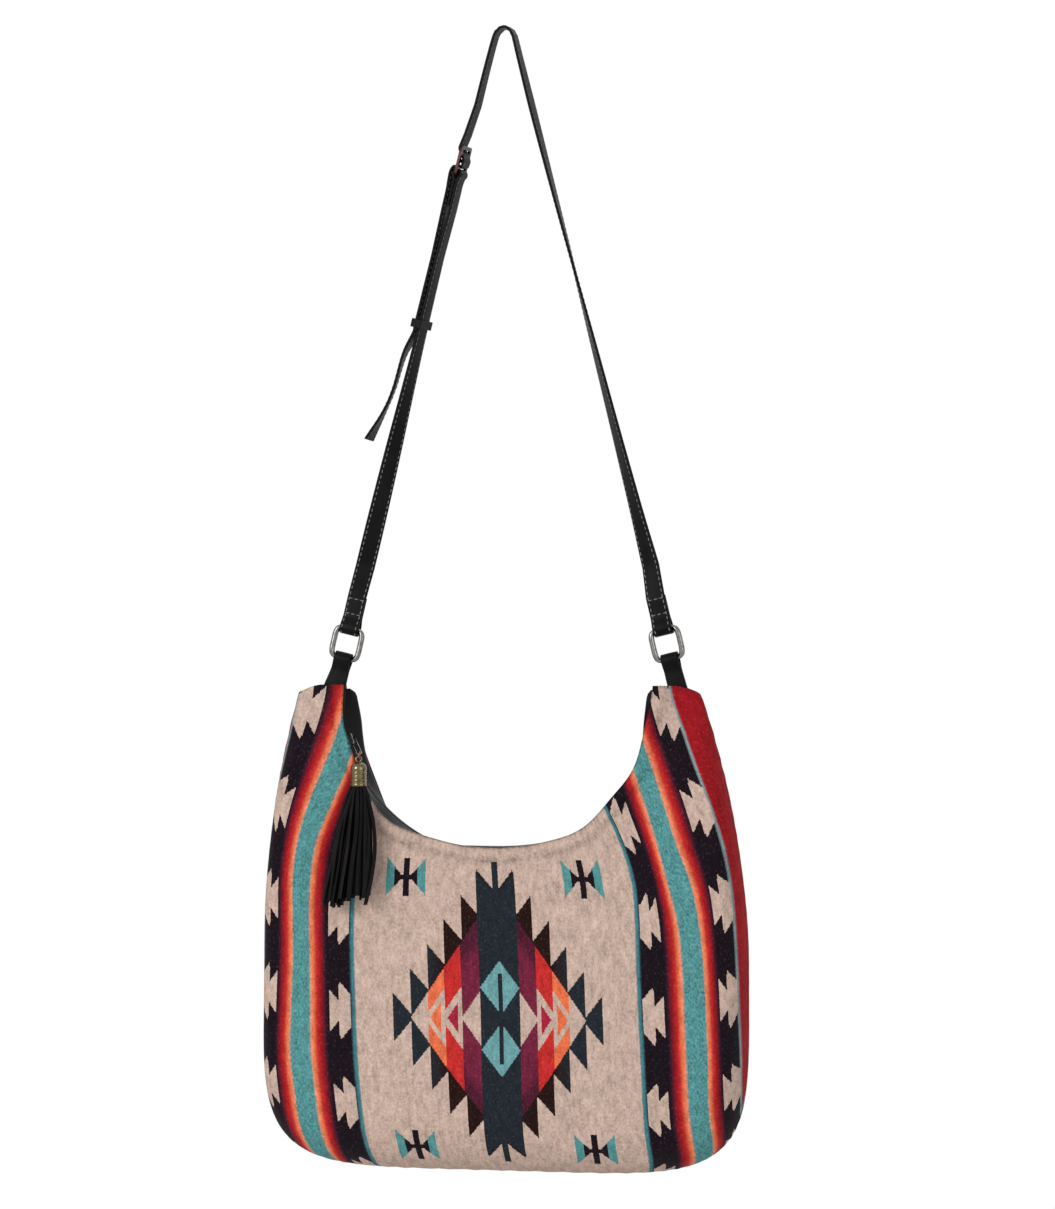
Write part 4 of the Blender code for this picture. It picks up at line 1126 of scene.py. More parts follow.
@dataclass
class BagBody:
    """The sewn body: two panels of blanket cloth, their lining, the zip's tapes and its coil."""

    form: BagForm
    finishes: Finishes
    cloth_map: ClothMap = ClothMap()
    wrinkles: Wrinkles = Wrinkles()
    panel_seeds: Pair = (2.0, 17.0)
    panel_columns: int = 176
    lining_columns: int = 88
    lining_trim: int = 7
    lining_low: int = 5
    lining_gap: float = 0.0006
    chain_radius: float = 0.1335
    chain_ends: Pair = (16.884, 163.116)
    coil_pitch: float = 0.0014
    coil_steps: int = 7
    coil_middle: float = 0.00145
    coil_half: float = 0.0010
    coil_rise: float = 0.0007
    coil_wire: float = 0.00030
    tape_columns: int = 150
    tape_rows: int = 8
    tape_thick: float = 0.0006
    tape_gap: float = 0.0006
    tape_inset: float = 0.0009
    left_tab: Pair = (0.0088, 30.0)
    other_tab: Pair = (0.0052, 22.0)
    front_tab_share: float = 0.4

    def bent_grid(self, shape: Shape, columns: int, side: Side) -> tuple[dict, list]:
        """Bend a grid over the front half of the bag and turn its faces outwards.

        Args:
            shape: an empty bmesh, with its layers.
            columns: how many columns of faces go round from horn to horn.
            side: the half whose rim it follows; the back half is mirrored later.

        Returns:
            Each vertex's column and row, and for each column its flat points.
        """
        form = self.form
        outer, bent = form.outline(columns), []
        for number in range(columns + 1):
            fraction = number / columns
            rim = form.scoop_point(180.0 * fraction, form.rim_radius(180.0 * fraction, side))
            bent.append(form.column(outer[number], rim, fraction))
        bmesh.ops.create_grid(shape, x_segments=columns, y_segments=form.rows, size=0.5)
        keys = {}
        for vertex in shape.verts:
            number, row = round((vertex.co.x + 0.5) * columns), round((vertex.co.y + 0.5) * form.rows)
            keys[vertex] = (number, row)
            vertex.co = bent[number][row][0]
        bmesh.ops.recalc_face_normals(shape, faces=shape.faces)
        shape.normal_update()
        middle = min(shape.faces, key=lambda face: face.calc_center_median().y)
        if middle.normal.y > 0:
            bmesh.ops.reverse_faces(shape, faces=shape.faces)
            shape.normal_update()
        return keys, [[pair[1] for pair in column] for column in bent]

    @staticmethod
    def mirror_back(shape: Shape, side: Side) -> None:
        """Turn the front half of the bag into its back half where that is wanted."""
        if side is Side.BACK:
            bmesh.ops.scale(shape, vec=(1.0, -1.0, 1.0), verts=shape.verts)
            bmesh.ops.reverse_faces(shape, faces=shape.faces)

    def panel(self, side: Side) -> Piece:
        """Make one panel of patterned cloth, with its hem, wrinkles and thickness."""
        form, name = self.form, side.name.lower()
        shape = bmesh.new()
        layer = shape.loops.layers.uv.new("cloth")
        distance = shape.verts.layers.float.new("from_rim")
        keys, flats = self.bent_grid(shape, self.panel_columns, side)
        seed = self.panel_seeds[side is Side.BACK]
        moves, places = [], {}
        for vertex, (number, row) in keys.items():
            flat, seam, rim = flats[number][row], flats[number][0], flats[number][-1]
            vertex[distance] = (flat - rim).length * 1000.0
            out = self.wrinkles.height(flat, (flat - rim).length, (flat - seam).length, seed)
            moves.append((vertex, vertex.normal * out))
            places[vertex] = self.cloth_map.at(flat)
        for vertex, move in moves:
            vertex.co += move
            vertex.co.y = min(vertex.co.y, -form.seam_gap / 2)
        for face in shape.faces:
            for loop in face.loops:
                loop[layer].uv = places[loop.vert]
        self.mirror_back(shape, side)
        panel = place_mesh(name + "_cloth_panel", shape, self.finishes.on("bag", "cloth"))
        thicken(panel, form.panel_thick, -1.0)
        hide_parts(name + "_panel")
        return panel

    def lining(self, side: Side) -> Piece:
        """Make one half of the plain lining, just inside its panel and open at the horns' tops."""
        form, name = self.form, side.name.lower()
        shape = bmesh.new()
        keys, _ = self.bent_grid(shape, self.lining_columns, side)
        inset = form.panel_thick + self.lining_gap
        for vertex, move in [(vertex, vertex.normal * inset) for vertex in shape.verts]:
            vertex.co -= move
            vertex.co.y = min(vertex.co.y, -form.seam_gap)
        ends = (self.lining_trim, self.lining_columns - self.lining_trim)
        spare = [vertex for vertex, (number, row) in keys.items()
                 if not ends[0] <= number <= ends[1] or row > form.rows - self.lining_low]
        bmesh.ops.delete(shape, geom=spare, context="VERTS")
        self.mirror_back(shape, side)
        lining = place_mesh(name + "_lining_cloth", shape, self.finishes.on("bag", "lining"))
        thicken(lining, form.lining_thick, -1.0)
        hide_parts(name + "_lining")
        return lining

    def tab(self, angle: float, side: Side) -> float:
        """Return how much wider the tape is near a horn, at an angle round the scoop."""
        from_end, left = min(angle, 180.0 - angle), angle < 90.0
        tab, reach = self.left_tab if left and side is Side.BACK else self.other_tab
        tab *= self.front_tab_share if left and side is Side.FRONT else 1.0
        return tab * smooth_step((from_end + 0.4) / 3.5) * smooth_step(1.0 - from_end / reach)

    def tape(self, side: Side) -> Piece:
        """Make one woven zip tape, from just inside the rim to the coil."""
        form, name = self.form, side.name.lower()
        shape = bmesh.new()
        bmesh.ops.create_grid(shape, x_segments=self.tape_columns, y_segments=self.tape_rows, size=0.5)
        edge = self.coil_middle + self.coil_half + self.tape_gap
        for vertex in shape.verts:
            share = (1 + (vertex.co.x + 0.5) * self.tape_columns) / (self.tape_columns + 2)
            part, angle = vertex.co.y + 0.5, 180.0 * share
            sewn = form.rim_half_gap(share) - form.panel_thick - self.tape_inset
            radius = form.rim_radius(angle, side) + self.tape_gap - self.tab(angle, side)
            y = sewn + (edge - sewn) * smooth_step(part * 0.9 + 0.1) if part > 0 else sewn
            deep = radius + (self.chain_radius - radius) * smooth_step(part * 1.25)
            vertex.co = form.scoop_point(angle, deep, side.value * y)
            vertex.co.z += form.rise(vertex.co.z)
        bmesh.ops.recalc_face_normals(shape, faces=shape.faces)
        tape = place_mesh(name + "_woven_tape", shape, self.finishes.on("bag", "zip_tape"))
        thicken(tape, self.tape_thick, 0.0)
        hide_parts(name + "_zip_tape")
        return tape

    def coil(self, side: Side) -> Piece:
        """Make one row of the zip's coil as a wound nylon wire along the chain's circle."""
        start, end = self.chain_ends
        turns = round(math.radians(end - start) * self.chain_radius / self.coil_pitch)
        steps = turns * self.coil_steps
        points = []
        for i in range(steps + 1):
            wind = math.tau * i / self.coil_steps * side.value
            y = side.value * (self.coil_middle + self.coil_half * math.cos(wind))
            points.append(self.form.scoop_point(start + (end - start) * i / steps,
                                                self.chain_radius + self.coil_rise * math.sin(wind), y))
        rings = []
        for point, way in zip(points, tangents(points)):
            out = way.cross(DEPTH).normalized()
            rings.append(circle(point, out * self.coil_wire, out.cross(way) * self.coil_wire, 4))
        name = side.name.lower()
        coil = swept(name + "_nylon_coil", rings, self.finishes.on("bag", "zip_coil"))
        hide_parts(name + "_zip_coil")
        return coil

    def build(self) -> list[Piece]:
        """Make both halves of the body."""
        return [make(side) for side in Side for make in (self.panel, self.lining, self.tape, self.coil)]


# Rings, slide and the zip's metal


@dataclass
class Fittings:
    """The cast metal parts: rings, slide, the zip's stops and its slider."""

    nodes: dict
    finishes: Finishes
    ring_x: float = 0.132
    ring_z: float = -0.492
    tilt: float = math.radians(13.5)
    ring_half_width: float = 0.0112
    ring_half_height: float = 0.0126
    ring_power: float = 4.5
    ring_wire: float = 0.0018
    ring_steps: int = 112
    ring_sides: int = 20
    side_swell: float = 0.30
    plate_bevel: float = 0.0006
    stop_bevel: float = 0.0002
    slider_bevel: float = 0.00015

    def up(self, horn: Horn) -> Vector:
        """Return the direction from a horn up to its strap."""
        return Vector((-horn.value * math.sin(self.tilt), 0.0, math.cos(self.tilt)))

    def across(self, horn: Horn) -> Vector:
        """Return the direction of a ring's bars."""
        up = self.up(horn)
        return Vector((up.z, 0.0, -up.x))

    def bar(self, horn: Horn, level: float) -> Vector:
        """Return the middle of a ring (level 0), of its upper bar (1) or of its lower bar (-1)."""
        centre = Vector((horn.value * self.ring_x, 0.0, self.ring_z))
        return centre + self.up(horn) * self.ring_half_height * level

    def ring(self, horn: Horn) -> Piece:
        """Make a cast oval ring, thicker at its sides than at its bars."""
        centre, up, across = self.bar(horn, 0.0), self.up(horn), self.across(horn)
        points, radii = [], []
        for i in range(self.ring_steps):
            angle = math.tau * i / self.ring_steps
            x, z = (math.copysign(abs(part) ** (2 / self.ring_power), part)
                    for part in (math.cos(angle), math.sin(angle)))
            points.append(centre + across * x * self.ring_half_width + up * z * self.ring_half_height)
            swell = smooth_step(1.6 * abs(math.cos(angle)) - 0.6)
            radii.append(self.ring_wire * (1.0 + self.side_swell * swell))
        name = horn.name.lower() + "_ring"
        wear = self.finishes.on(name + "_body", "nickel")
        ring = round_wire("oval_" + name, points, radii, DEPTH, wear, self.ring_sides)
        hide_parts(name)
        return ring

    def refined(self, node: str, wear: Wear, bevel: float) -> Piece:
        """Make a clean copy of a cast or cut piece's solid, with its edges rounded.

        Args:
            node: the frame's node.
            wear: the new piece's material, body and slot.
            bevel: the radius of the rounded edges.

        Returns:
            The new object, which replaces the node.
        """
        shape = bmesh.new()
        shape.from_mesh(self.nodes[node].data)
        bmesh.ops.remove_doubles(shape, verts=shape.verts, dist=0.00001)
        bmesh.ops.dissolve_limit(shape, angle_limit=math.radians(3), verts=shape.verts, edges=shape.edges)
        piece = place_mesh("finished_" + node, shape, wear)
        soften(piece, bevel)
        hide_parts(node)
        return piece

    def build(self) -> list[Piece]:
        """Make the rings, the zip's stops and slider, and the slide."""
        nickel = self.finishes.on("bag", "nickel")
        return [self.ring(horn) for horn in Horn] + [
            self.refined("zip_top_stop", nickel, self.stop_bevel),
            self.refined("zip_bottom_stop", nickel, self.stop_bevel),
            self.refined("zip_slider", self.finishes.on("slider", "nickel"), self.slider_bevel),
            self.refined("strap_slide", self.finishes.on("strap", "bronze"), self.plate_bevel)]


@dataclass
class ZipPull:
    """The pull over the rim: a long wire link, a small round link and the leather tassel.

    The cap's crown is (share of its radius, share of its height) places. The fringe's layers are
    how many strips each has and how far out it lies.
    """

    form: BagForm
    finishes: Finishes
    seed: int = 11
    slider_angle: float = 18.0
    chain_radius: float = 0.1335
    slider_lift: float = 0.0059
    pull_end: Triple = (-0.1140, -0.0275, -0.5795)
    tassel_way: Triple = (-0.1138, -0.0315, -0.008)
    half_width: float = 0.0019
    wire: float = 0.0006
    hole: float = 0.0008
    slack: float = 0.0003
    link_radius: float = 0.0027
    eye_radius: float = 0.0022
    eye_wire: float = 0.0007
    eye_seat: float = 0.0002
    cap_radius: float = 0.0064
    cap_height: float = 0.0190
    cap_wall: float = 0.0010
    cap_crown: Pairs = ((0.0, 0.0), (0.30, 0.001), (0.52, 0.02), (0.78, 0.07), (0.94, 0.14), (1.0, 0.22),
                        (1.0, 0.28))
    cap_ribs: float = 4.0
    rib_share: float = 0.035
    fringe_length: float = 0.094
    fringe_root: float = 0.45
    fringe_lean: Pair = (0.0070, 0.0125)
    layers: tuple[tuple[int, float], ...] = ((18, 1.0), (13, 0.62), (7, 0.28))
    neck: float = 0.0046
    wide: float = 0.0180
    deep: float = 0.0054
    spread_power: float = 0.7
    strip_width: float = 0.0032
    strip_thick: float = 0.00085
    strip_steps: int = 18
    strip_section: Pairs = ((-1, -1), (-0.35, -1.25), (0.35, -1.25), (1, -1), (1, 1), (-1, 1))
    strip_root: Pair = (0.55, 5.0)
    twist: float = 0.35
    sway: float = 0.0009
    ripple: Triple = (7.0, 3.0, 0.4)
    layer_turn: float = 0.37
    jitter: float = 0.09
    shortest: float = 0.945
    innermost: float = 0.95
    slant: Pair = (0.004, 0.001)
    loose_strip: Four = (-0.35, 0.98, 0.0030, 0.0052)

    def __post_init__(self) -> None:
        """Work out where the links hang, from the slider down to the tassel's cap."""
        self.chance = random.Random(self.seed)
        turn = math.radians(self.slider_angle)
        self.start = self.form.scoop_point(self.slider_angle, self.chain_radius - self.slider_lift)
        self.end = Vector(self.pull_end)
        self.run = (self.end - self.start).normalized()
        self.side = self.run.cross(Vector((math.sin(turn), 0.0, -math.cos(turn)))).normalized()
        bar = self.end + self.run * self.half_width
        x, y, drop = self.tassel_way
        self.hang = (Vector((x, y, bar.z + drop)) - bar).normalized()
        self.axle = (self.side - self.hang * self.side.dot(self.hang)).normalized()
        self.link_middle = bar + self.hang * (self.link_radius - 2 * self.wire - self.slack)
        low = self.link_middle + self.hang * self.link_radius
        self.eye = low - UP * (self.eye_radius - self.eye_wire - self.wire - self.slack)
        self.cap_top = self.eye.z - self.eye_radius - self.eye_seat

    def pull(self) -> Piece:
        """Make the long wire link."""
        slack = self.half_width - (self.hole + self.wire + self.slack)
        one, two = self.run * self.half_width, self.side * self.half_width
        points = circle(self.start + self.run * slack, -one, -two, 16, -90.0, 180.0) \
            + circle(self.end, one, two, 16, -90.0, 180.0)
        link = round_wire("long_pull_link", points, [self.wire] * len(points), self.run.cross(self.side),
                          self.finishes.on("pull", "nickel"))
        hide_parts("zip_pull")
        return link

    def round_link(self) -> Piece:
        """Make the small link between the pull and the tassel."""
        points = circle(self.link_middle, self.hang * self.link_radius,
                        self.hang.cross(self.axle) * self.link_radius, 40)
        link = round_wire("copper_round_link", points, [self.wire] * len(points), self.axle,
                          self.finishes.on("link", "copper"))
        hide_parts("pull_link")
        return link

    def cap(self) -> Piece:
        """Make the ribbed cap as a turned cup."""
        r, h, wall = self.cap_radius, self.cap_height, self.cap_wall
        profile = [(out * r, -down * h) for out, down in self.cap_crown]
        for i in range(40):
            rib = 1.0 - self.rib_share * (1.0 - math.cos(math.tau * self.cap_ribs * i / 39))
            profile.append((r * rib, -(0.30 + 0.62 * i / 39) * h))
        profile += [(r, -0.95 * h), (r, -0.99 * h), (r - 0.0002, -h), (r - 0.0009, -h),
                    (r - wall, -0.97 * h), (r - wall, -0.30 * h), (0.0, -0.24 * h)]
        shape = bmesh.new()
        verts = [shape.verts.new((x, 0.0, z)) for x, z in profile]
        edges = [shape.edges.new(pair) for pair in zip(verts, verts[1:])]
        bmesh.ops.spin(shape, geom=verts + edges, cent=(0.0, 0.0, 0.0), axis=UP, angle=math.tau, steps=48,
                       use_merge=True)
        bmesh.ops.remove_doubles(shape, verts=shape.verts, dist=0.000005)
        bmesh.ops.recalc_face_normals(shape, faces=shape.faces)
        bmesh.ops.translate(shape, verts=shape.verts, vec=(self.eye.x, self.eye.y, self.cap_top))
        cap = place_mesh("ribbed_tassel_cap", shape, self.finishes.on("tassel", "brass"))
        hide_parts("tassel_cap")
        return cap

    def cap_eye(self) -> Piece:
        """Make the wire eye on the cap's crown."""
        level = Vector((self.axle.x, self.axle.y, 0.0)).normalized()
        points = circle(self.eye, UP * self.eye_radius, level * self.eye_radius, 36)
        return round_wire("tassel_cap_eye", points, [self.eye_wire] * len(points), level.cross(UP),
                          self.finishes.on("tassel", "brass"))

    def strip(self, shape: Shape, angle: float, share: float, width: float, length: float,
              bow: float = 0.0) -> None:
        """Add one leather strip of the fringe.

        Args:
            shape: the bmesh that collects the strips.
            angle: where the strip lies round the tassel.
            share: how far out from the middle, from 0 to 1.
            width: the strip's width.
            length: its length below the cap.
            bow: how far it swings out sideways halfway down.
        """
        skirt = self.cap_top - self.cap_height
        top = self.cap_top - self.fringe_root * self.cap_height
        twist = self.chance.uniform(-self.twist, self.twist)
        sway = self.chance.uniform(-self.sway, self.sway)
        waves, shift, depth = self.ripple
        root, widening = self.strip_root
        rings = []
        for i in range(self.strip_steps + 1):
            z = top - (top - (skirt - length)) * i / self.strip_steps
            down = max(0.0, (skirt - z) / self.fringe_length)
            ease = math.sin(0.5 * math.pi * min(down, 1.0)) ** self.spread_power
            wide, deep = (self.neck + (size - self.neck) * ease for size in (self.wide, self.deep))
            wave = sway * math.sin(waves * down + angle * shift)
            centre = Vector((self.eye.x - self.fringe_lean[0] * down, self.eye.y - self.fringe_lean[1] * down,
                             z)) + Vector((math.cos(angle) * wide, math.sin(angle) * deep, 0.0)) * share \
                + Vector((bow * math.sin(math.pi * min(down, 1.0)) + wave, depth * wave, 0.0))
            face = math.atan2(math.sin(angle), 2.0 * math.cos(angle)) + twist * down
            side = Vector((-math.sin(face), math.cos(face), 0.0))
            if abs(side.x) < 0.55:
                side = Vector((0.75, side.y * 0.6, 0.0)).normalized()
            normal = Vector((-side.y, side.x, 0.0)) * 0.5 * self.strip_thick
            side *= 0.5 * width * (root + (1.0 - root) * smooth_step(down * widening))
            rings.append([centre + side * a + normal * b for a, b in self.strip_section])
        add_sweep(shape, rings)

    def fringe(self) -> Piece:
        """Make the fringe of cut leather strips, three layers deep, with one strip hanging apart."""
        shape, chance = bmesh.new(), self.chance
        for layer, (count, share) in enumerate(self.layers):
            for i in range(count):
                angle = math.tau * (i + self.layer_turn * layer) / count \
                    + chance.uniform(-self.jitter, self.jitter)
                length = self.fringe_length * chance.uniform(self.shortest, 1.0) \
                    - self.slant[0] * math.cos(angle) - self.slant[1]
                out = share * chance.uniform(self.innermost, 1.0)
                self.strip(shape, angle, out, self.strip_width, length)
        angle, share, width, bow = self.loose_strip
        self.strip(shape, angle, share, width, self.fringe_length, bow)
        bmesh.ops.recalc_face_normals(shape, faces=shape.faces)
        fringe = place_mesh("leather_fringe", shape, self.finishes.on("tassel", "leather"))
        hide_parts("tassel_fringe")
        return fringe

    def build(self) -> list[Piece]:
        """Make the pull, its link, the cap and the fringe."""
        return [self.pull(), self.round_link(), self.cap(), self.cap_eye(), self.fringe()]


# Leather straps


@dataclass
class StrapWork:
    """The leather: long strap, short strap, chapes and keeper, with their sewn edges.

    The routes are (x, z, turn in degrees) rows down each side, as the straps hang. The slide's
    passes are (along, outward) places from its middle.
    """

    fittings: Fittings
    form: BagForm
    finishes: Finishes
    gap: float = 0.0003
    width: float = 0.0155
    thick: float = 0.0022
    fold_length: float = 0.026
    chape_width: float = 0.014
    chape_thick: float = 0.0019
    chape_root: float = 0.011
    flares: Pair = (0.0050, 0.0015)
    loop_inner: float = 0.0034
    neck: float = 0.0105
    leg_step: float = 0.003
    strap_step: float = 0.003
    weave_step: float = 0.0012
    corner: float = 0.0007
    groove: Pair = (0.0019, 0.0034)
    slide_bar: float = 0.0030
    slide_slot: float = 0.0078
    slide_thick: float = 0.0022
    slide_clear: float = 0.00055
    slide_middle: Triple = (-0.0352, 0.0, -0.1055)
    slide_turn: float = 5.0
    slide_tilt: float = math.radians(14.0)
    tail_offset: float = 0.0036
    keeper_length: float = 0.007
    keeper_bevel: float = 0.0004
    peg_radius: float = 0.0080
    stitch_pitch: float = 0.0046
    stitch_length: float = 0.0031
    stitch_width: float = 0.00088
    stitch_lift: float = 0.00012
    box_stitch: float = 0.0034
    edge_in: float = 0.0019
    right_route: tuple = ((0.0075, -0.0060, 0.0), (0.0128, -0.0270, 2.0), (0.0245, -0.0728, 4.0),
                          (0.0430, -0.1430, -4.0), (0.0560, -0.1915, -12.0), (0.0730, -0.2560, -25.0),
                          (0.0930, -0.3320, -38.0), (0.1085, -0.3905, -52.0), (0.1190, -0.4300, -72.0))
    left_route: tuple = ((-0.0080, -0.0060, 0.0), (-0.0140, -0.0270, 1.0), (-0.0228, -0.0610, 3.0))
    lower_route: tuple = ((-0.0545, -0.1820, 8.0), (-0.0680, -0.2360, 12.0), (-0.0800, -0.2840, 22.0),
                          (-0.0925, -0.3340, 39.0), (-0.1050, -0.3840, 58.0), (-0.1165, -0.4300, 76.0))
    tail_route: tuple = ((-0.0835, -0.2590, -5.0), (-0.0925, -0.2870, -11.0), (-0.1010, -0.3060, -9.0),
                         (-0.1135, -0.3280, 12.0))

    def stations(self, controls: Sequence[tuple[Vector, float]], step: float) -> list[Station]:
        """Return (point, width direction) stations along a curve through (point, turn) controls."""
        spots = spline_points([Vector((*point, 0.001 * turn)) for point, turn in controls], step)
        points = [Vector(spot[:3]) for spot in spots]
        ready = []
        for point, way, spot in zip(points, tangents(points), spots):
            angle = math.radians(1000.0 * spot[3])
            across = Vector((math.sin(angle), math.cos(angle), 0.0))
            ready.append((point, (across - way * across.dot(way)).normalized()))
        return ready

    @staticmethod
    def flat_controls(route: Sequence[Triple]) -> list[tuple[Vector, float]]:
        """Turn (x, z, turn) rows into controls in the middle plane."""
        return [(Vector((x, 0.0, z)), turn) for x, z, turn in route]

    def hairpin(self, bar: Vector, up: Vector, thick: float, leg: float) -> list[Vector]:
        """Return the points of a folded strap.

        Args:
            bar: the middle of the bar that it goes round.
            up: the direction of its legs.
            thick: the strap's thickness.
            leg: the length of each leg.

        Returns:
            The points down its front leg, round the bar and up its back leg.
        """
        reach, rest = self.loop_inner + 0.5 * thick, 0.5 * (thick + self.gap)
        steps = max(2, round((leg - self.neck) / self.leg_step))
        back = [bar + up * (leg + (self.neck - leg) * i / steps) + DEPTH * rest for i in range(steps + 1)]
        for i in range(1, 8):
            apart = rest + (reach - rest) * smooth_step(i / 8)
            back.append(bar + up * self.neck * (1 - i / 8) + DEPTH * apart)
        front = [Vector((point.x, -point.y, point.z)) for point in back]
        return front + circle(bar, -DEPTH * reach, -up * reach, 18, 0.0, 180.0) + back[::-1]

    def slide_frame(self) -> tuple[Vector, Vector]:
        """Return the slide's way down the strap and its outward face."""
        down = Vector((-math.sin(self.slide_tilt), 0.0, -math.cos(self.slide_tilt)))
        turn = math.radians(self.slide_turn)
        width = Vector((math.sin(turn), math.cos(turn), 0.0))
        outward = down.cross((width - down * width.dot(down)).normalized()).normalized()
        return down, (-outward if outward.x > 0 else outward)

    def woven(self, spots: Pairs) -> list[tuple[Vector, float]]:
        """Turn (along, outward) places at the slide into controls."""
        down, outward = self.slide_frame()
        return [(Vector(self.slide_middle) + down * a + outward * b, self.slide_turn) for a, b in spots]

    def loop_reach(self) -> Pair:
        """Return the lower bar's distance from the slide's middle and the reach of a loop round it."""
        loop = math.hypot(0.5 * self.slide_bar, 0.5 * self.slide_thick) + self.gap + 0.5 * self.thick
        return self.slide_slot + self.slide_bar, loop

    def long_route(self) -> list[Station]:
        """Return the long strap's stations: right ring, over the top, through the slide, tail."""
        low_bar, loop = self.loop_reach()
        level = 0.5 * (self.slide_thick + self.thick) + self.slide_clear
        half = 0.5 * self.slide_bar
        edge = self.slide_slot + half
        over = loop + self.thick + 2 * self.gap
        spots = ((-0.0215, 0.0012), (-edge - 0.0030, level), (-edge, level), (-0.5 * (edge + half), 0.0),
                 (-half, -level), (half * 0.6, -level), (half + 0.0024, -0.0022),
                 (half + 0.0031, 0.0012), (half + 0.0042, 0.0045), (low_bar - 0.0018, over - 0.0002),
                 (low_bar + 0.0012, over), (low_bar + 0.0060, 0.0058), (low_bar + 0.0140, 0.0052),
                 (low_bar + 0.0300, 0.0050))
        rise = self.peg_radius + 0.5 * self.thick
        peak = [(Vector((rise * math.sin(swing) * 0.8, 0.0, rise * math.cos(swing) - self.peg_radius)), 0.0)
                for swing in map(math.radians, (50, 25, 0, -25, -50))]
        upper = self.flat_controls(self.right_route[::-1]) + peak + self.flat_controls(self.left_route)
        down, outward = self.slide_frame()
        beside = [(p + outward * self.tail_offset, t) for p, t in self.flat_controls(self.lower_route[:2])]
        beside.append((beside[-1][0] + down * self.keeper_length, beside[-1][1]))
        tail = beside + self.flat_controls(self.tail_route)
        return self.fold(Horn.RIGHT)[::-1] + self.stations(upper, self.strap_step) \
            + self.stations(self.woven(spots), self.weave_step) + self.stations(tail, self.strap_step)

    def short_route(self) -> list[Station]:
        """Return the short strap's stations: round the slide's lower bar and down to the left ring."""
        low_bar, loop = self.loop_reach()
        rest = 0.5 * (self.thick + self.gap)
        spots = [(low_bar + along, rest) for along in (0.0260, 0.0160, 0.0080)]
        spots += [(low_bar + loop * math.cos(swing), loop * math.sin(swing))
                  for swing in map(math.radians, range(40, 321, 20))]
        spots += [(low_bar + along, -rest) for along in (0.0080, 0.0160, 0.0290)]
        return self.stations(self.woven(spots), self.weave_step) \
            + self.stations(self.flat_controls(self.lower_route), self.strap_step) + self.fold(Horn.LEFT)

    def fold(self, horn: Horn) -> list[Station]:
        """Return the stations of a strap's end, folded round a ring's upper bar."""
        across = self.fittings.across(horn) * -horn.value
        points = self.hairpin(self.fittings.bar(horn, 1.0), self.fittings.up(horn), self.thick,
                              self.fold_length)
        return [(point, across) for point in points]

    def band(self, name: str, route: Sequence[Station], width: float, thick: float,
             wear: Wear, flare: Optional[Sequence[float]] = None) -> Piece:
        """Make a strap with rounded, slightly padded section along stations.

        Args:
            name: the piece's name.
            route: (point, width direction) stations.
            width: the strap's width.
            thick: its thickness.
            wear: its material, body and slot.
            flare: how much wider the strap is at each station.

        Returns:
            The strap.
        """
        half, deep, r = 0.5 * width, 0.5 * thick, self.corner
        groove, pad = self.groove
        side = [(half, -deep + r), (half - 0.3 * r, -deep + 0.3 * r), (half - r, -deep * 0.97),
                (half - groove, -deep * 0.86), (half - pad, -deep)]
        lower = [(-a, b) for a, b in side] + [(0.0, -deep)] + side[::-1]
        profile = lower + [(a, -b) for a, b in lower[::-1]]
        rings = []
        for number, ((point, across), way) in enumerate(zip(route, tangents([spot for spot, _ in route]))):
            normal = across.cross(way).normalized()
            wider = 1.0 + (flare[number] / width if flare else 0.0)
            rings.append([point + across * a * wider + normal * b for a, b in profile])
        return swept(name, rings, wear)

    def edge_stitches(self, name: str, route: Sequence[Station]) -> Piece:
        """Sew both edges of a strap, on both its faces.

        Args:
            name: the piece's name.
            route: the strap's stations.

        Returns:
            The stitches.
        """
        ways = tangents([spot for spot, _ in route])
        places, gone, wanted = [], 0.0, 0.5 * self.stitch_pitch
        for (before, across_before), (after, across_after), way in zip(route, route[1:], ways[1:]):
            run = (after - before).length
            while gone + run >= wanted:
                part = (wanted - gone) / run
                across = across_before.lerp(across_after, part).normalized()
                normal = across.cross(way).normalized()
                for edge, face in ((-1.0, -1.0), (-1.0, 1.0), (1.0, -1.0), (1.0, 1.0)):
                    middle = before.lerp(after, part) + across * edge * (0.5 * self.width - self.edge_in) \
                        + normal * face * (0.43 * self.thick + self.stitch_lift)
                    places.append((middle, way, normal * face))
                wanted += self.stitch_pitch
            gone += run
        return stitches(name, places, self.stitch_length, self.stitch_width,
                        self.finishes.on("strap", "leather", "thread"))

    def chape(self, horn: Horn) -> Piece:
        """Make a chape: a leather loop from the ring's lower bar into the horn's top seam."""
        bar, up, across = self.fittings.bar(horn, -1.0), self.fittings.up(horn), self.fittings.across(horn)
        leg = (bar.z - self.form.top_seam_z + self.chape_root) / up.z
        spots = self.hairpin(bar, -up, self.chape_thick, leg)
        wide = self.flares[horn is Horn.RIGHT]
        flare = [wide * smooth_step((bar - spot).dot(up) / leg) for spot in spots]
        route = [(spot + across * horn.value * 0.5 * more, across) for spot, more in zip(spots, flare)]
        name = horn.name.lower() + "_chape"
        piece = self.band(name + "_loop", route, self.chape_width, self.chape_thick,
                          self.finishes.on("bag", "leather"), flare)
        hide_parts(name)
        return piece

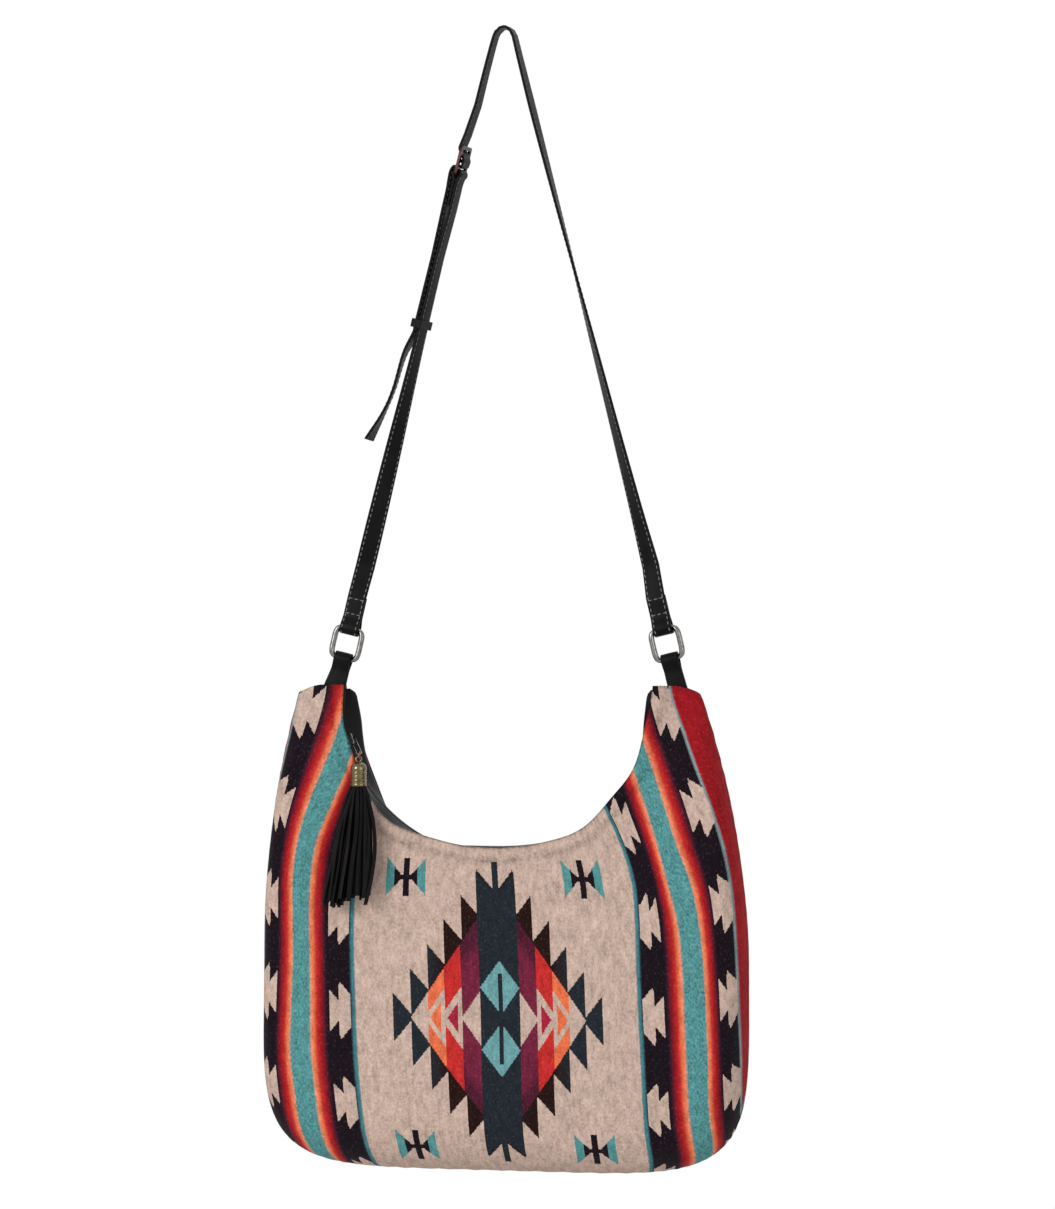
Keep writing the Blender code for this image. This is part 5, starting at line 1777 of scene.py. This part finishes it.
    def box_stitches(self, horn: Horn) -> Piece:
        """Sew the box across a strap's folded end, above its ring."""
        bar, up, across = self.fittings.bar(horn, 1.0), self.fittings.up(horn), self.fittings.across(horn)
        places = []
        for level in (self.neck + 0.0012, self.fold_length - 0.0020):
            for step in (-0.3, 0.0, 0.3):
                for face in (-1.0, 1.0):
                    middle = bar + up * level + across * step * self.width \
                        + DEPTH * face * (self.thick + 0.5 * self.gap)
                    places.append((middle, across, DEPTH * face))
        return stitches(horn.name.lower() + "_box_stitches", places, self.box_stitch, self.stitch_width,
                        self.finishes.on("strap", "leather", "thread"))

    def build(self) -> list[Piece]:
        """Make the straps, chapes and keeper."""
        wear, made = self.finishes.on("strap", "leather"), []
        for name, route in (("long_strap", self.long_route()), ("short_strap", self.short_route())):
            strap = self.band(name + "_leather", route, self.width, self.thick, wear)
            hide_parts(name)
            made += [strap, self.edge_stitches(name + "_stitches", route)]
        for horn in Horn:
            made += [self.chape(horn), self.box_stitches(horn)]
        return made + [self.fittings.refined("strap_keeper", wear, self.keeper_bevel)]


# Studio


@dataclass
class Studio:
    """A pale floor and backdrop, soft lamps and the camera at the photograph's angle.

    The lamps are a name, a place, a size in metres and a power in watts.
    """

    azimuth: float = math.radians(14.0)
    distance: float = 4.0
    pixel: float = 0.0008
    frame_pixels: tuple[int, int] = (1055, 1209)
    origin_pixel: Pair = (505.5, 28.7)
    sensor: float = 36.0
    floor_z: float = -1.02
    floor_size: float = 12.0
    lamp_target: Triple = (0.0, 0.0, -0.6)
    lamps: tuple = (("key", (-1.4, -2.6, 0.2), 1.3, 44.0), ("fill", (2.2, -1.9, -0.4), 1.8, 18.0),
                    ("top", (0.1, 0.9, 1.6), 1.4, 8.0))

    def camera(self) -> None:
        """Make a long-lens camera level with the middle of the picture."""
        wide, tall = self.frame_pixels
        data = bpy.data.cameras.new("camera")
        data.sensor_fit = "HORIZONTAL"
        data.sensor_width = self.sensor
        data.lens = self.sensor * self.distance / (wide * self.pixel)
        data.clip_end = 60.0
        right = Vector((math.cos(self.azimuth), math.sin(self.azimuth), 0.0))
        back = Vector((math.sin(self.azimuth), -math.cos(self.azimuth), 0.0))
        centre = right * (0.5 * wide - self.origin_pixel[0]) * self.pixel \
            - UP * (0.5 * tall - self.origin_pixel[1]) * self.pixel
        bpy.context.scene.camera = self.aimed(data, centre + back * self.distance, -back, "-Z")

    @staticmethod
    def aimed(data: bpy.types.ID, place: Vector, way: Vector, axis: str) -> Piece:
        """Put a camera or lamp at a place with one of its axes along a direction."""
        made = bpy.data.objects.new(data.name, data)
        made.location = place
        made.rotation_mode = "QUATERNION"
        made.rotation_quaternion = way.to_track_quat(axis, "Y")
        bpy.context.scene.collection.objects.link(made)
        return made

    @staticmethod
    def seen(tree: Tree, *rays: str) -> Field:
        """Return 1 for the kinds of ray that are named, else 0."""
        path = add_node(tree, "LightPath")
        mask = Field(tree, path.outputs[rays[0]])
        for ray in rays[1:]:
            mask = mask | Field(tree, path.outputs[ray])
        return mask

    def pale_material(self) -> Material:
        """Return a white matt finish that looks evenly lit to the camera and keeps soft shadows."""
        paint = Surface("pale_studio_paint")
        made = paint.finished({"Base Color": linear("#F2F1F0"), "Roughness": 0.95, "Specular IOR Level": 0.1})
        glow = add_node(paint.tree, "Emission", links={"Color": linear("#FFFFFF"), "Strength": 1.03})
        shader = paint.tree.nodes["Principled BSDF"]
        seen = self.seen(paint.tree, "Is Camera Ray", "Is Glossy Ray")
        blend = add_node(paint.tree, "MixShader",
                         links={0: seen * 0.94, 1: shader.outputs[0], 2: glow.outputs[0]})
        fill(paint.tree.nodes["Material Output"], {"Surface": blend.outputs[0]})
        return made

    def floor(self) -> Piece:
        """Make the floor."""
        shape = bmesh.new()
        bmesh.ops.create_grid(shape, x_segments=2, y_segments=2, size=self.floor_size)
        bmesh.ops.translate(shape, verts=shape.verts, vec=(0.0, 0.0, self.floor_z))
        mesh = bpy.data.meshes.new("floor")
        shape.to_mesh(mesh)
        shape.free()
        floor = bpy.data.objects.new("floor", mesh)
        floor.data.materials.append(self.pale_material())
        bpy.context.scene.collection.objects.link(floor)
        return floor

    def lamp(self, name: str, place: Triple, size: float, power: float) -> None:
        """Add a soft square lamp that faces the bag."""
        data = bpy.data.lights.new(name, "AREA")
        data.size = size
        data.energy = power
        self.aimed(data, Vector(place), Vector(place) - Vector(self.lamp_target), "Z")

    def world(self) -> None:
        """Make the pale surround: plain light for surfaces, white to the camera and in gloss."""
        world = bpy.data.worlds.new("pale_surround")
        world.use_nodes = True
        bpy.context.scene.world = world
        seen = self.seen(world.node_tree, "Is Camera Ray", "Is Glossy Ray", "Is Transmission Ray")
        fill(world.node_tree.nodes["Background"], {"Strength": seen * 0.45 + 0.55,
                                                   "Color": linear("#FFFFFF")})

    def build(self) -> list[Piece]:
        """Make the whole studio and return its floor."""
        self.camera()
        floor = self.floor()
        self.world()
        for lamp in self.lamps:
            self.lamp(*lamp)
        bpy.context.scene.view_settings.view_transform = "Standard"
        return [floor]


def main() -> None:
    """Load the frame, build the bag's looks and its studio, and report each piece."""
    logging.basicConfig(level=logging.INFO, format="%(name)s: %(message)s")
    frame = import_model()
    form, finishes = BagForm(), Finishes()
    fittings = Fittings(frame["nodes"], finishes)
    for maker in (Studio(), BagBody(form, finishes), fittings, ZipPull(form, finishes),
                  StrapWork(fittings, form, finishes)):
        for piece in maker.build():
            LOG.info("%s: %d points", piece.name, len(piece.data.vertices))


if __name__ == "__main__":
    main()
